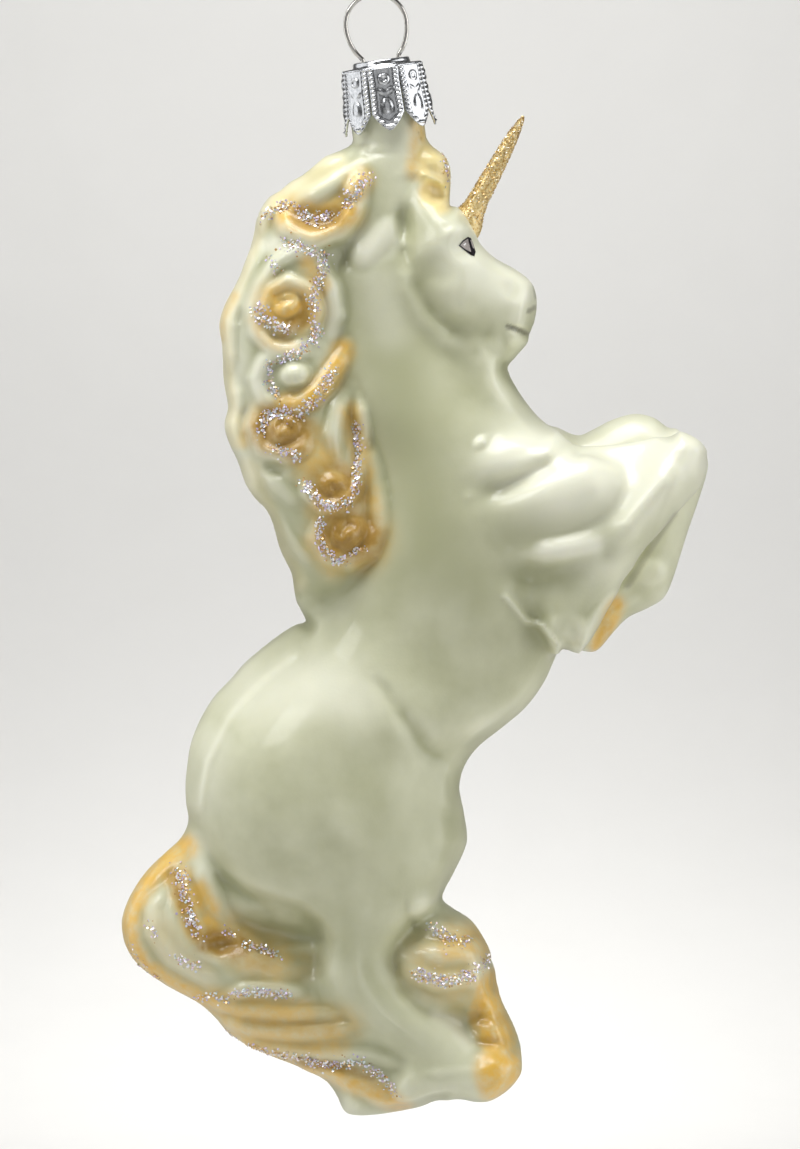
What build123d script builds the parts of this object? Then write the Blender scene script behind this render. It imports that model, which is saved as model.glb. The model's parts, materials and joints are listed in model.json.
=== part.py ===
"""Mouth-blown glass hanging ornament: a rearing unicorn, with its cap and wire hanger.

Millimetres, +Z up, +X the way the unicorn faces, Y across it (its right side is at -Y).
The origin is the point inside the wire loop where a hook bears.
"""
from build123d import *
import math
import os

# Blown glass shell
SHELL_WALL = 0.9
NECK_RADIUS = 5.0
NECK_WALL = 0.9
NECK_SHOWING = 1.8
NECK_ROOT = 11.0
NECK_LEAN = 8.0
HIND_SPREAD = 7.5
FORE_SPREAD = 7.0
OVAL_STEPS = 5
UPPER_ARM_OUT = 4.2
FOLD_WEB_IN = 1.5
CURL_ROLL = 1.0
BUTTON_PROUD = 0.9
LOCK_RADIUS = 1.5
LOCK_DIP = 3.0

# Horn, drawn from a glass rod and flared where it is melted on
HORN_LENGTH = 15.6
HORN_FOOT_RADIUS = 2.3
HORN_SHANK_RADIUS = 1.25
HORN_TIP_RADIUS = 0.65
HORN_FLARE = 2.4
HORN_ROOT = 4.0
HORN_SEAT = (10.0, -10.3)
HORN_PITCH = 61.7

# Stamped tinplate cap
CAP_SHEET = 0.25
CAP_CLEARANCE = 0.2
CAP_SEAT_GAP = 0.05
CAP_DEPTH = 8.2
CAP_FLARE = 0.65
CAP_BOSS_RADIUS = 3.8
CAP_BOSS_RISE = 0.8
PETAL_COUNT = 8
PETAL_SLIT = 0.5
PETAL_POINT = 2.4
PETAL_ROOT = 2.6

# Spring wire hanger
WIRE_DIAMETER = 0.6
HOLE_CLEARANCE = 0.08
HOLE_SPACING = 4.8
LOOP_RADIUS = 4.05
LOOP_STANDOFF = 0.7
HANGER_TRAVEL = 4.5
SPLAY_BELOW_TRAVEL = 1.5
LEG_SPLAYED = 10.0
LEG_CLEARANCE = 0.15
KNEE_ABOVE_PLATE = 0.55
KNEE_RADIUS = 0.9
SPLAY_RADIUS = 6.0

# Stations of the figure, measured in X and Z from the foot of the glass neck: the point on the
# back or outer edge, the point on the front or inner edge, and half the width across Y.
BARREL = [
    ((-16.5, -105.0), (-4.0, -105.0), 6.0),
    ((-21.5, -101.5), (4.0, -101.5), 11.0),
    ((-25.0, -96.0), (9.0, -96.0), 14.5),
    ((-27.0, -89.0), (9.7, -89.0), 16.0),
    ((-27.0, -81.0), (11.0, -81.0), 15.5),
    ((-23.0, -74.0), (17.0, -77.0), 15.0),
    ((-15.5, -67.0), (21.5, -70.0), 14.0),
    ((-11.0, -61.5), (24.0, -61.5), 14.0),
    ((-8.0, -53.5), (25.0, -48.5), 14.0),
    ((-6.0, -43.5), (21.5, -38.5), 12.5),
    ((-6.0, -33.5), (17.0, -33.5), 9.8),
    ((-6.0, -24.0), (12.0, -27.0), 7.8),
    ((-5.5, -13.5), (6.5, -19.0), 7.0),
    ((-5.0, -7.0), (5.0, -11.5), 6.4),
    ((-4.5, -1.0), (4.0, -3.0), 5.5),
]
HEAD = [
    ((4.5, -3.5), (0.0, -7.5), 5.0),
    ((6.5, -6.5), (1.0, -13.0), 7.5),
    ((9.0, -8.5), (2.0, -18.5), 9.3),
    ((11.5, -12.5), (5.5, -24.5), 9.4),
    ((14.0, -15.5), (10.5, -27.0), 7.6),
    ((17.0, -17.0), (14.5, -29.0), 6.2),
    ((19.0, -19.0), (17.5, -28.0), 5.2),
    ((19.5, -21.0), (18.5, -25.5), 3.4),
]
MANE = [
    ((-4.0, 0.5), (2.5, -2.0), 4.5),
    ((-8.5, -2.0), (1.0, -6.0), 6.5),
    ((-14.0, -5.5), (0.5, -9.0), 8.0),
    ((-18.5, -13.0), (-1.5, -14.5), 9.5),
    ((-23.0, -24.5), (-3.0, -24.5), 10.5),
    ((-22.0, -35.0), (-2.0, -35.0), 11.5),
    ((-21.5, -41.5), (-1.0, -42.5), 12.3),
    ((-17.5, -48.5), (0.5, -48.5), 12.7),
    ((-14.5, -55.5), (0.5, -55.0), 12.0),
    ((-11.3, -63.0), (-3.0, -60.0), 6.0),
]
FORELOCK = [
    ((4.0, 0.5), (0.0, -1.0), 3.0),
    ((7.0, -2.0), (1.5, -4.5), 4.0),
    ((7.7, -6.5), (2.5, -8.0), 3.5),
    ((7.0, -8.5), (3.5, -9.0), 2.0),
]
TAIL = [
    ((-26.5, -90.5), (-18.0, -94.5), 5.0),
    ((-31.0, -95.5), (-17.5, -99.5), 6.5),
    ((-35.5, -102.5), (-16.5, -103.5), 7.8),
    ((-34.5, -109.0), (-14.0, -105.0), 8.5),
    ((-26.0, -115.0), (-10.0, -106.0), 9.0),
    ((-17.5, -121.5), (-5.0, -109.5), 9.0),
    ((-10.0, -124.5), (-1.0, -114.0), 9.0),
    ((-7.0, -128.5), (3.5, -118.0), 8.5),
    ((-1.0, -129.5), (7.0, -121.0), 8.0),
    ((6.0, -127.8), (10.0, -123.5), 6.0),
]
TAIL_LOBE = [
    ((0.5, -103.0), (3.5, -117.0), 6.0),
    ((5.5, -101.5), (9.0, -119.0), 8.0),
    ((12.0, -105.0), (13.0, -116.0), 7.0),
    ((13.5, -108.5), (14.0, -113.0), 4.0),
]
RIGHT_HIND_LEG = [
    ((-14.0, -96.5), (6.0, -96.5), 6.0),
    ((-11.0, -101.5), (4.0, -101.5), 6.5),
    ((-9.0, -106.0), (0.5, -106.0), 5.8),
    ((-9.5, -111.0), (0.5, -109.5), 5.2),
    ((-5.5, -117.0), (3.5, -113.5), 4.8),
    ((2.0, -122.5), (8.0, -116.5), 4.6),
    ((8.5, -126.5), (11.5, -119.5), 5.0),
    ((13.0, -127.5), (14.5, -120.0), 5.2),
    ((16.5, -126.0), (17.0, -121.5), 4.0),
]
LEFT_HIND_LEG = [
    ((-14.0, -96.5), (6.0, -96.5), 6.0),
    ((-10.5, -101.5), (4.0, -101.5), 6.5),
    ((-7.5, -106.0), (2.0, -105.5), 5.6),
    ((-6.5, -111.0), (3.0, -108.5), 5.0),
    ((0.0, -116.0), (7.0, -110.5), 4.7),
    ((8.5, -119.0), (11.5, -111.5), 4.6),
    ((13.0, -122.0), (14.5, -113.5), 5.0),
    ((16.6, -122.0), (16.0, -115.5), 4.0),
]
RIGHT_FOREARM = [
    ((8.0, -42.0), (10.0, -58.0), 5.0),
    ((16.0, -40.0), (18.0, -57.0), 6.8),
    ((23.5, -40.0), (25.5, -54.0), 6.8),
    ((30.0, -40.0), (31.0, -51.5), 6.0),
    ((39.0, -38.5), (37.0, -47.0), 4.5),
    ((41.5, -41.0), (40.0, -45.5), 3.0),
]
RIGHT_CANNON = [
    ((41.8, -42.0), (36.0, -42.5), 3.6),
    ((37.0, -51.5), (30.0, -51.5), 4.0),
    ((30.0, -60.5), (24.0, -60.0), 4.0),
    ((28.0, -64.5), (22.5, -63.5), 4.5),
    ((27.5, -67.5), (23.5, -67.0), 4.0),
]
LEFT_FOREARM = [
    ((8.0, -41.0), (10.0, -56.0), 5.0),
    ((17.0, -39.0), (19.5, -55.0), 6.5),
    ((25.0, -39.0), (28.5, -51.0), 6.3),
    ((33.0, -36.0), (35.0, -48.0), 5.5),
    ((38.0, -38.0), (38.5, -47.0), 5.0),
    ((41.0, -40.5), (41.0, -46.0), 3.0),
]
LEFT_CANNON = [
    ((41.8, -42.0), (36.0, -43.0), 3.6),
    ((40.0, -50.5), (34.0, -50.5), 4.0),
    ((37.3, -58.5), (31.8, -58.5), 4.3),
    ((34.0, -62.5), (30.0, -60.0), 4.3),
    ((29.5, -65.5), (27.5, -63.0), 4.0),
]

FOLD_WEB = [
    ((14.0, -54.0), (30.0, -49.5), 5.0),
    ((18.0, -60.0), (29.5, -57.0), 4.2),
    ((22.0, -66.0), (27.0, -65.0), 3.0),
]
UPPER_ARM = [
    ((12.5, -46.0), (14.5, -54.0), 3.0),
    ((18.0, -44.0), (19.5, -52.0), 4.0),
    ((24.0, -42.8), (25.2, -50.4), 4.0),
    ((28.0, -43.8), (28.6, -48.4), 2.4),
]

# Curls of the mane, the same on each flank: the place of the button in X and Z, the radius of the
# rolled lock round it, and the radius of the button
CURLS = [
    ((-9.9, -9.8), 3.4, 1.7),
    ((-14.1, -22.0), 3.9, 2.3),
    ((-13.0, -30.7), 3.2, 1.9),
    ((-14.5, -38.0), 3.4, 2.3),
    ((-7.5, -45.2), 2.9, 1.9),
    ((-5.5, -51.9), 3.5, 2.4),
]

# Locks of the tail, the same on each flank: where each lock rises from the glass, its crest and
# where it sinks back, in X and Z, and how far the crest's centre lies from the middle plane
TAIL_LOCKS = [
    ((-26.5, -94.0), (-25.1, -98.3), (-21.5, -104.5), 6.0),
    ((-23.0, -113.6), (-17.4, -111.7), (-10.8, -113.4), 8.5),
    ((-24.0, -116.6), (-15.0, -118.5), (-5.5, -117.7), 7.0),
    ((-21.5, -119.4), (-9.7, -121.2), (1.3, -122.8), 6.6),
    ((-13.7, -122.7), (-7.0, -124.1), (-0.8, -126.2), 6.4),
    ((2.6, -110.0), (7.7, -111.6), (13.5, -108.7), 7.5),
]

# Sizes that follow from the ones above
WIRE_RADIUS = WIRE_DIAMETER / 2
BORE_RADIUS = NECK_RADIUS - NECK_WALL
CAP_BORE_RADIUS = NECK_RADIUS + CAP_CLEARANCE
CAP_PLATE_TOP = CAP_SEAT_GAP + CAP_SHEET
CAP_TOP = CAP_PLATE_TOP + CAP_BOSS_RISE
CAP_TIP = CAP_PLATE_TOP - CAP_DEPTH
NECK_LENGTH = CAP_DEPTH + NECK_SHOWING
TUBE_LENGTH = NECK_LENGTH + NECK_ROOT
LEG_OFFSET = HOLE_SPACING / 2
LEG_STRAIGHT = HANGER_TRAVEL + SPLAY_BELOW_TRAVEL
LOOP_CENTRE_HEIGHT = CAP_TOP + LOOP_RADIUS + LOOP_STANDOFF

# The neck plane: its origin is the centre of the glass rim, its Z the axis of neck, cap and hanger
lean = math.radians(NECK_LEAN)
neck_up = Vector(-math.sin(lean), 0, math.cos(lean))
loop_centre = Vector(0, 0, WIRE_RADIUS - LOOP_RADIUS)
rim_centre = loop_centre - neck_up * LOOP_CENTRE_HEIGHT
neck_foot = rim_centre - neck_up * NECK_LENGTH
neck_plane = Plane(origin=rim_centre, x_dir=Vector(math.cos(lean), 0, math.sin(lean)), z_dir=neck_up)


def figure_point(xz, y):
    """A point of the figure, from its X and Z measured at the neck foot."""
    return neck_foot + Vector(xz[0], y, xz[1])


def section(plane, half_length, half_width):
    """An oval face on a plane, as two half ovals that meet on the plane's X axis."""
    steps = [math.pi * step / OVAL_STEPS for step in range(OVAL_STEPS + 1)]
    over = [(half_length * math.cos(turn), half_width * math.sin(turn)) for turn in steps]
    under = [(x, -y) for x, y in reversed(over)]
    out, back = (0, 1), (0, -1)
    halves = [Spline(over, tangents=[out, back]), Spline(under, tangents=[back, out])]
    return plane * make_face(halves)


def swelling(stations, side=0.0, inset=0.0):
    """A smooth solid through oval sections, each drawn in by inset."""
    sections = []
    for back, front, half_width in stations:
        across = figure_point(front, side) - figure_point(back, side)
        plane = Plane(
            origin=figure_point(back, side) + across * 0.5,
            x_dir=across,
            z_dir=across.cross(Vector(0, 1, 0)),
        )
        sections.append(section(plane, across.length / 2 - inset, half_width - inset))
    return loft(sections)


def neck_rod(radius):
    """A round rod on the neck axis, from the rim down into the figure."""
    return neck_plane * Pos(0, 0, -TUBE_LENGTH / 2) * Cylinder(radius, TUBE_LENGTH)


def mane_flank(place):
    """Half the width of the mane at a place in X and Z, and the outward direction there."""
    rows = [
        ((back[1] + front[1]) / 2, (back[0] + front[0]) / 2, (front[0] - back[0]) / 2, half_width)
        for back, front, half_width in MANE
    ]
    for (top, *upper), (bottom, *lower) in zip(rows, rows[1:]):
        if bottom <= place[1] <= top:
            t = (top - place[1]) / (top - bottom)
            middle, half_length, half_width = (a + (b - a) * t for a, b in zip(upper, lower))
    share = (place[0] - middle) / half_length
    rise = math.sqrt(1 - share**2)
    return half_width * rise, Vector(share / half_length, rise / half_width, 0)


def curl(place, roll_radius, button_radius, side):
    """A lock rolled into a ring on one flank of the mane, and the button in its middle."""
    half_width, outward = mane_flank(place)
    seat = Plane(
        origin=figure_point(place, side * half_width),
        z_dir=Vector(outward.X, side * outward.Y, 0),
    )
    button = Pos(0, 0, BUTTON_PROUD - button_radius) * Sphere(button_radius)
    return [seat * Torus(roll_radius, CURL_ROLL), seat * button]


def tail_lock(rise, crest, sink, crest_out, side):
    """A round lock that lies along one flank of the tail and sinks in at both ends."""
    low = side * (crest_out - LOCK_DIP)
    high = side * crest_out
    line = ThreePointArc(figure_point(rise, low), figure_point(crest, high), figure_point(sink, low))
    return sweep(Plane(origin=line @ 0, z_dir=line % 0) * Circle(LOCK_RADIUS), path=line)


def flank_relief(side):
    """What stands proud on one flank: curls, locks of the tail and the muscle of the upper arm."""
    pieces = [piece for row in CURLS for piece in curl(*row, side)]
    pieces += [tail_lock(*row, side) for row in TAIL_LOCKS]
    return pieces + [swelling(UPPER_ARM, side * (FORE_SPREAD + UPPER_ARM_OUT))]


def glass_outside():
    """The outer skin of the blown figure with its neck tube, as one solid."""
    pieces = [swelling(stations) for stations in (HEAD, MANE, FORELOCK, TAIL, TAIL_LOBE)]
    pieces += [swelling(RIGHT_HIND_LEG, -HIND_SPREAD), swelling(LEFT_HIND_LEG, HIND_SPREAD)]
    pieces += [swelling(stations, -FORE_SPREAD) for stations in (RIGHT_FOREARM, RIGHT_CANNON)]
    pieces += [swelling(stations, FORE_SPREAD) for stations in (LEFT_FOREARM, LEFT_CANNON)]
    pieces += [swelling(FOLD_WEB, FOLD_WEB_IN - FORE_SPREAD)]
    pieces += flank_relief(-1) + flank_relief(1)
    return swelling(BARREL).fuse(*pieces, neck_rod(NECK_RADIUS))


def glass_inside():
    """The hollow of the figure, open through the neck; the blown shape closes its thin ends."""
    middle = [HEAD[1:-1], MANE[1:-1], TAIL[:-1]]
    hollows = [swelling(stations, inset=SHELL_WALL) for stations in middle]
    limbs = [
        (RIGHT_HIND_LEG, -HIND_SPREAD),
        (LEFT_HIND_LEG, HIND_SPREAD),
        (RIGHT_FOREARM, -FORE_SPREAD),
        (LEFT_FOREARM, FORE_SPREAD),
    ]
    hollows += [swelling(stations[:-1], side, SHELL_WALL) for stations, side in limbs]
    return swelling(BARREL[1:-1], inset=SHELL_WALL).fuse(*hollows, neck_rod(BORE_RADIUS))


def horn_rod():
    """The horn as turned about its own axis, its root running on into the forehead."""
    tip_start = (HORN_TIP_RADIUS, HORN_LENGTH - HORN_TIP_RADIUS)
    slant = HORN_TIP_RADIUS * math.sqrt(0.5)
    tip_middle = (slant, HORN_LENGTH - HORN_TIP_RADIUS + slant)
    edges = [
        Polyline(
            (0, HORN_LENGTH),
            (0, -HORN_ROOT),
            (HORN_FOOT_RADIUS, -HORN_ROOT),
            (HORN_FOOT_RADIUS, 0),
            (HORN_SHANK_RADIUS, HORN_FLARE),
            tip_start,
        ),
        ThreePointArc(tip_start, tip_middle, (0, HORN_LENGTH)),
    ]
    rod = revolve(Plane.XZ * make_face(edges), axis=Axis.Z)
    pitch = math.radians(HORN_PITCH)
    seat = Plane(
        origin=figure_point(HORN_SEAT, 0),
        x_dir=Vector(0, 1, 0),
        z_dir=Vector(math.cos(pitch), 0, math.sin(pitch)),
    )
    return seat * rod


def petal_notch():
    """What is cut between two petals: a narrow slit that opens to the slopes of two points."""
    rim_radius = CAP_BORE_RADIUS + CAP_FLARE + CAP_SHEET
    half_pitch = math.pi * rim_radius / PETAL_COUNT
    half_slit = PETAL_SLIT / 2
    slit_top = CAP_PLATE_TOP - PETAL_ROOT
    shoulder = CAP_TIP + PETAL_POINT
    below = CAP_TIP - CAP_SHEET
    outline = Polyline(
        (-half_slit, slit_top),
        (half_slit, slit_top),
        (half_slit, shoulder),
        (half_pitch, CAP_TIP),
        (half_pitch, below),
        (-half_pitch, below),
        (-half_pitch, CAP_TIP),
        (-half_slit, shoulder),
        close=True,
    )
    return extrude(Plane.XZ * make_face(outline), -(rim_radius + CAP_SHEET))


def stamped_cap():
    """The cap on the neck axis: boss, plate and flared skirt cut into pointed petals."""
    outline = Polyline(
        (0, CAP_TOP),
        (CAP_BOSS_RADIUS, CAP_TOP),
        (CAP_BOSS_RADIUS, CAP_PLATE_TOP),
        (CAP_BORE_RADIUS + CAP_SHEET, CAP_PLATE_TOP),
        (CAP_BORE_RADIUS + CAP_FLARE + CAP_SHEET, CAP_TIP),
        (CAP_BORE_RADIUS + CAP_FLARE, CAP_TIP),
        (CAP_BORE_RADIUS, CAP_SEAT_GAP),
        (CAP_BOSS_RADIUS - CAP_SHEET, CAP_SEAT_GAP),
        (CAP_BOSS_RADIUS - CAP_SHEET, CAP_TOP - CAP_SHEET),
        (0, CAP_TOP - CAP_SHEET),
        close=True,
    )
    cap = revolve(Plane.XZ * make_face(outline), axis=Axis.Z)
    pitch = 360 / PETAL_COUNT
    for turn in range(PETAL_COUNT):
        cap -= Rot(0, 0, (turn + 0.5) * pitch) * petal_notch()
    hole = Cylinder(WIRE_RADIUS + HOLE_CLEARANCE, 4 * CAP_SHEET)
    for side in (-LEG_OFFSET, LEG_OFFSET):
        cap -= Pos(side, 0, CAP_TOP) * hole
    return cap


def hanger_line():
    """The centre line of the wire: a round loop, and two legs that splay inside the neck."""
    centre = Vector(0, 0, LOOP_CENTRE_HEIGHT)
    knee = Vector(LEG_OFFSET, 0, CAP_TOP + KNEE_ABOVE_PLATE)
    splay = Vector(LEG_OFFSET, 0, CAP_TOP - LEG_STRAIGHT)
    foot = Vector(BORE_RADIUS - LEG_CLEARANCE - WIRE_RADIUS, 0, CAP_TOP - LEG_STRAIGHT - LEG_SPLAYED)

    def on_loop(angle):
        return centre + Vector(math.cos(angle), 0, math.sin(angle)) * LOOP_RADIUS

    fall = knee - centre
    touch = math.atan2(fall.Z, fall.X) + math.acos(LOOP_RADIUS / fall.length)
    top = math.pi / 2
    arc = ThreePointArc(on_loop(top), on_loop((top + touch) / 2), on_loop(touch))
    leg = FilletPolyline(on_loop(touch), knee, splay, foot, radius=[KNEE_RADIUS, SPLAY_RADIUS])
    edges = arc.edges() + leg.edges()
    for run in (arc, leg):
        edges += mirror(run, about=Plane.YZ).edges()
    return Wire(edges)


def wire_hanger():
    """The hanger: round wire along its centre line, from one foot to the other."""
    line = hanger_line()
    start = Plane(origin=line @ 0, z_dir=line % 0)
    return sweep(start * Circle(WIRE_RADIUS), path=line)


outside = glass_outside()
nodes = {
    "glass_body": outside - glass_inside(),
    "horn": horn_rod() - outside,
    "cap": neck_plane * stamped_cap(),
    "hanger_wire": neck_plane * wire_hanger(),
}
os.makedirs("parts", exist_ok=True)
for name, solid in nodes.items():
    export_step(solid, f"parts/{name}.step")
    size = solid.bounding_box().size
    print(f"{name}: {solid.volume:.1f} mm3, {size.X:.1f} x {size.Y:.1f} x {size.Z:.1f} mm")
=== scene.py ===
# %% [markdown]
# # A blown-glass unicorn ornament
# The object is one hollow bubble of glass, blown in a mould as a rearing unicorn. Pearl lacquer
# covers it, amber is airbrushed on the hair and the hooves, and clear glitter is glued along the
# locks. A glass spike with gold glitter is the horn, a stamped cap sits on the neck, and a
# spring wire hangs it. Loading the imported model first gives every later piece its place.

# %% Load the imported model
import json
import math
import bmesh
import bpy
import numpy as np
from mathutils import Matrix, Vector, noise
from mathutils.bvhtree import BVHTree


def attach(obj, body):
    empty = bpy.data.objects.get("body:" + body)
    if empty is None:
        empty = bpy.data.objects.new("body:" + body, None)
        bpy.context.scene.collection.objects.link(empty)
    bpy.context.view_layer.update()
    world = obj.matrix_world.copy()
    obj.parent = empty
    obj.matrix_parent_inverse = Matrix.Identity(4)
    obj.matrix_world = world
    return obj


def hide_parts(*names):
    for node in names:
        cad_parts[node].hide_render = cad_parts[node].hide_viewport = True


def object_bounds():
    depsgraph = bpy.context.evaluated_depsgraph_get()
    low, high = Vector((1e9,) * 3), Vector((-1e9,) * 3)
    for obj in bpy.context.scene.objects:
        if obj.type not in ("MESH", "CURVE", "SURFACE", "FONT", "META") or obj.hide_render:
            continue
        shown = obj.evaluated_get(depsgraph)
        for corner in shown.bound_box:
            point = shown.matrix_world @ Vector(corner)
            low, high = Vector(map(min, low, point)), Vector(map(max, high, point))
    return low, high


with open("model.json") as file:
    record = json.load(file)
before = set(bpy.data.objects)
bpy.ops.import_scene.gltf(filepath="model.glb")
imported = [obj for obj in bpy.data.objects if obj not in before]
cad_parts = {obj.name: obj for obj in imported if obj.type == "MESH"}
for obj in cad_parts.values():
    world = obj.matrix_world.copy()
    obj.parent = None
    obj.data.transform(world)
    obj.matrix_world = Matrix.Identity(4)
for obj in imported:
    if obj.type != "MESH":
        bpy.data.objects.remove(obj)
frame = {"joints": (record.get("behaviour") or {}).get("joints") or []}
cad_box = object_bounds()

print("CAD box in mm:", [[round(value * 1000, 1) for value in corner] for corner in cad_box])

# %% [markdown]
# ## One set of measures
# The photograph shows 7.5 pixels to the millimetre, and everything on the figure is measured
# from the foot of its glass neck. Detail that was read off the picture is listed in pixels of
# the 800 x 1149 frame, and one function turns those into millimetres.

# %% The neck foot, and pixels to millimetres
MM = 0.001
PIXELS_PER_MM = 7.5
FOOT_PIXEL = np.array([392.5, 143.0])
LOOP_CENTRE = np.array([0.0, 0.0, -3.75])
RIM_BELOW_LOOP = 5.85
NECK_LENGTH = 10.0

neck_up = np.array(next(joint["axis"] for joint in frame["joints"] if joint["name"] == "cap_lift"))
rim_centre = LOOP_CENTRE - neck_up * RIM_BELOW_LOOP
neck_foot = rim_centre - neck_up * NECK_LENGTH


def from_photo(pixels):
    """Photo pixels as X and Z in millimetres from the neck foot."""
    offset = (np.array(pixels, float) - FOOT_PIXEL) / PIXELS_PER_MM
    return offset * (1, -1)


print("neck foot in mm:", neck_foot.round(2), "leaning", neck_up.round(3))

# %% [markdown]
# ## Sculpting with a distance field
# A blown figure has no edges: limbs swell out of the trunk and hair rolls over the neck.
# Modelling that with single polygons is slow, and metaballs are too lumpy. Here the figure is a
# field of numbers on a fine grid, each the distance to the glass, negative inside. Each limb is
# a row of oval stations, soft unions melt the limbs together, and relief is pressed in
# afterwards.

# %% The grid that holds the field, in mm
CELL = 0.36
FAR = 9.0
LOW = np.array([-39.0, -20.5, -132.5])
HIGH = np.array([45.0, 20.5, 12.5])

grid_x, grid_y, grid_z = (np.arange(LOW[i], HIGH[i], CELL, dtype=np.float32) for i in range(3))
plan_x, plan_z = np.meshgrid(grid_x, grid_z, indexing="ij")
field = np.full((len(grid_x), len(grid_y), len(grid_z)), FAR, np.float32)
print("grid of", field.shape, "cells")

# %% Stations of trunk, head, hair and tail: X and Z of back and front, half width, in mm
BARREL = [
    (-16.5, -105, -4, -105, 6), (-21.5, -101.5, 4, -101.5, 11), (-25, -96, 9, -96, 14.5),
    (-27, -89, 9.7, -89, 16), (-27, -81, 11, -81, 15.5), (-23, -74, 17, -77, 15),
    (-15.5, -67, 21.5, -70, 14), (-11, -61.5, 24, -61.5, 14), (-8, -53.5, 25, -48.5, 14),
    (-6, -43.5, 21.5, -38.5, 12.8), (-11, -33.5, 17, -33.5, 10.8), (-12, -24, 12, -27, 9),
    (-11, -13.5, 6.5, -19, 8.2), (-8, -7, 5, -11.5, 6.8), (-4.5, -1, 4, -3, 5.5),
]
HEAD = [
    (4.5, -3.5, 0, -7.5, 5), (6.5, -6.5, 1, -13, 7.5), (9, -8.5, 2, -18.5, 9.8),
    (11.5, -12.5, 5.5, -24.5, 10), (14, -15.5, 10.5, -27, 7.6), (17, -17, 14.5, -29, 6.2),
    (19, -19, 17.5, -28, 5.2), (19.5, -21, 18.5, -25.5, 3.4),
]
THROAT = [
    (6, -22, 14, -25.5, 7), (7, -27, 16, -29.5, 7.8), (8, -32, 18, -34, 8.5),
]
MANE = [
    (-4, 0.5, 2.5, -2, 4.5), (-8.5, -2, 1, -6, 6.5), (-14, -5.5, 0.5, -9, 8),
    (-18.5, -13, -3, -14.5, 9.5), (-23, -24.5, -4.5, -24.5, 10.5), (-22, -35, -3, -35, 11.5),
    (-21.5, -41.5, -1, -42.5, 12.3), (-17.5, -48.5, 0.5, -48.5, 12.7), (-14.5, -55.5, 0.5, -55, 12),
    (-11.3, -63, -3, -60, 6),
]
FORELOCK = [
    (4, 0.5, 0, -1, 3), (7, -2, 1.5, -4.5, 4), (7.7, -6.5, 2.5, -8, 3.5), (7, -8.5, 3.5, -9, 2),
]
TAIL = [
    (-26.5, -90.5, -18, -94.5, 5), (-31, -95.5, -17.5, -99.5, 6.5),
    (-35.5, -102.5, -16.5, -103.5, 7.8), (-34.5, -109, -14, -105, 8.5), (-26, -115, -10, -106, 9),
    (-17.5, -121.5, -5, -109.5, 9), (-10, -124.5, -1, -114, 9), (-7, -128.5, 3.5, -118, 8.5),
    (-1, -129.5, 7, -121, 8), (6, -127.8, 10, -123.5, 8),
]
TAIL_LOBE = [
    (0.5, -103, 3.5, -117, 11.5), (5.5, -101.5, 9, -119, 11.5), (12, -105, 13, -116, 9.5),
    (13.5, -108.5, 14, -113, 5.5),
]
print("stations of the trunk:", len(BARREL))

# %% Stations of the legs, each about its own middle plane, and of the webs between them
HIND_SPREAD = 7.5
FORE_SPREAD = 7.0
RIGHT_HIND_LEG = [
    (-12, -89, 4, -89, 3), (-14, -96.5, 6, -96.5, 6), (-11, -101.5, 4, -101.5, 6.5),
    (-9, -106, 0.5, -106, 5.8), (-9.5, -111, 0.5, -109.5, 5.2), (-5.5, -117, 3.5, -113.5, 4.8),
    (2, -122.5, 8, -116.5, 4.6), (8.5, -126.5, 11.5, -119.5, 5), (13, -127.5, 14.5, -120, 5.2),
    (16.5, -126, 17, -121.5, 4),
]
LEFT_HIND_LEG = [
    (-12, -89, 4, -89, 3), (-14, -96.5, 6, -96.5, 6), (-10.5, -101.5, 4, -101.5, 6.5),
    (-7.5, -106, 2, -105.5, 5.6), (-6.5, -111, 3, -108.5, 5), (0, -116, 7, -110.5, 4.7),
    (8.5, -119, 11.5, -111.5, 4.6), (13, -122, 14.5, -113.5, 5), (16.6, -122, 16, -115.5, 4),
]
RIGHT_FOREARM = [
    (8, -42, 10, -58, 5), (16, -40, 18, -57, 5.6), (23.5, -40, 25.5, -54, 4.4),
    (30, -40, 31, -51.5, 3.2), (37.5, -38.5, 36.5, -47, 3.2), (40, -40, 39.5, -45.5, 2.8),
]
UPPER_ARM = [
    (11.3, -48.9, 12.2, -51.7, 1), (15.1, -45.4, 17.2, -52.3, 3.4), (20.1, -42.5, 22.9, -51.9, 4.6),
    (25.5, -41.4, 28.1, -49.6, 4), (28.3, -42.5, 29.8, -47.3, 2),
]
ELBOW = [
    (18, -53.2, 18.2, -54.8, 1.5), (21, -52.2, 21.4, -55.6, 3.3), (25, -51.4, 25.6, -54.6, 3.3),
    (28, -50.4, 28.6, -52.6, 1.5),
]
RIGHT_CANNON = [
    (41, -42.2, 36.5, -39.8, 3.6), (38.8, -47.5, 31.5, -43.5, 4.2), (33.6, -53.6, 26.5, -49.5, 4.6),
    (29.4, -60, 22.5, -56.5, 4.4), (27, -64.3, 20.5, -62, 4.4), (24.5, -66.5, 21.5, -66, 4),
]
LEFT_FOREARM = [
    (8, -41, 10, -56, 5), (17, -39, 19.5, -55, 6.5), (25, -39, 28.5, -51, 6.3),
    (33, -36, 35, -48, 5.5), (38, -38, 38.5, -47, 5), (41, -40.5, 41, -46, 3),
]
LEFT_CANNON = [
    (41.8, -42, 36, -43, 3.6), (40, -50.5, 32, -49.5, 4), (37.3, -58.5, 28.5, -56.5, 4.3),
    (34, -62.5, 27, -59, 4.3), (29.5, -65.5, 25.5, -62.5, 4), (27.5, -67.5, 25, -66, 3.8),
]
FOLD_WEB = [
    (14, -54, 30, -49.5, 6.6), (17, -60, 28.5, -57, 6.9), (20.5, -65, 26, -63.5, 6.6),
    (22, -67.5, 25, -67, 5.5),
]
HEEL_WEB = [
    (1, -127.5, 4, -121, 4.5), (10, -127.8, 11, -121.5, 5), (13, -127.8, 13.5, -121.5, 5),
]
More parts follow.
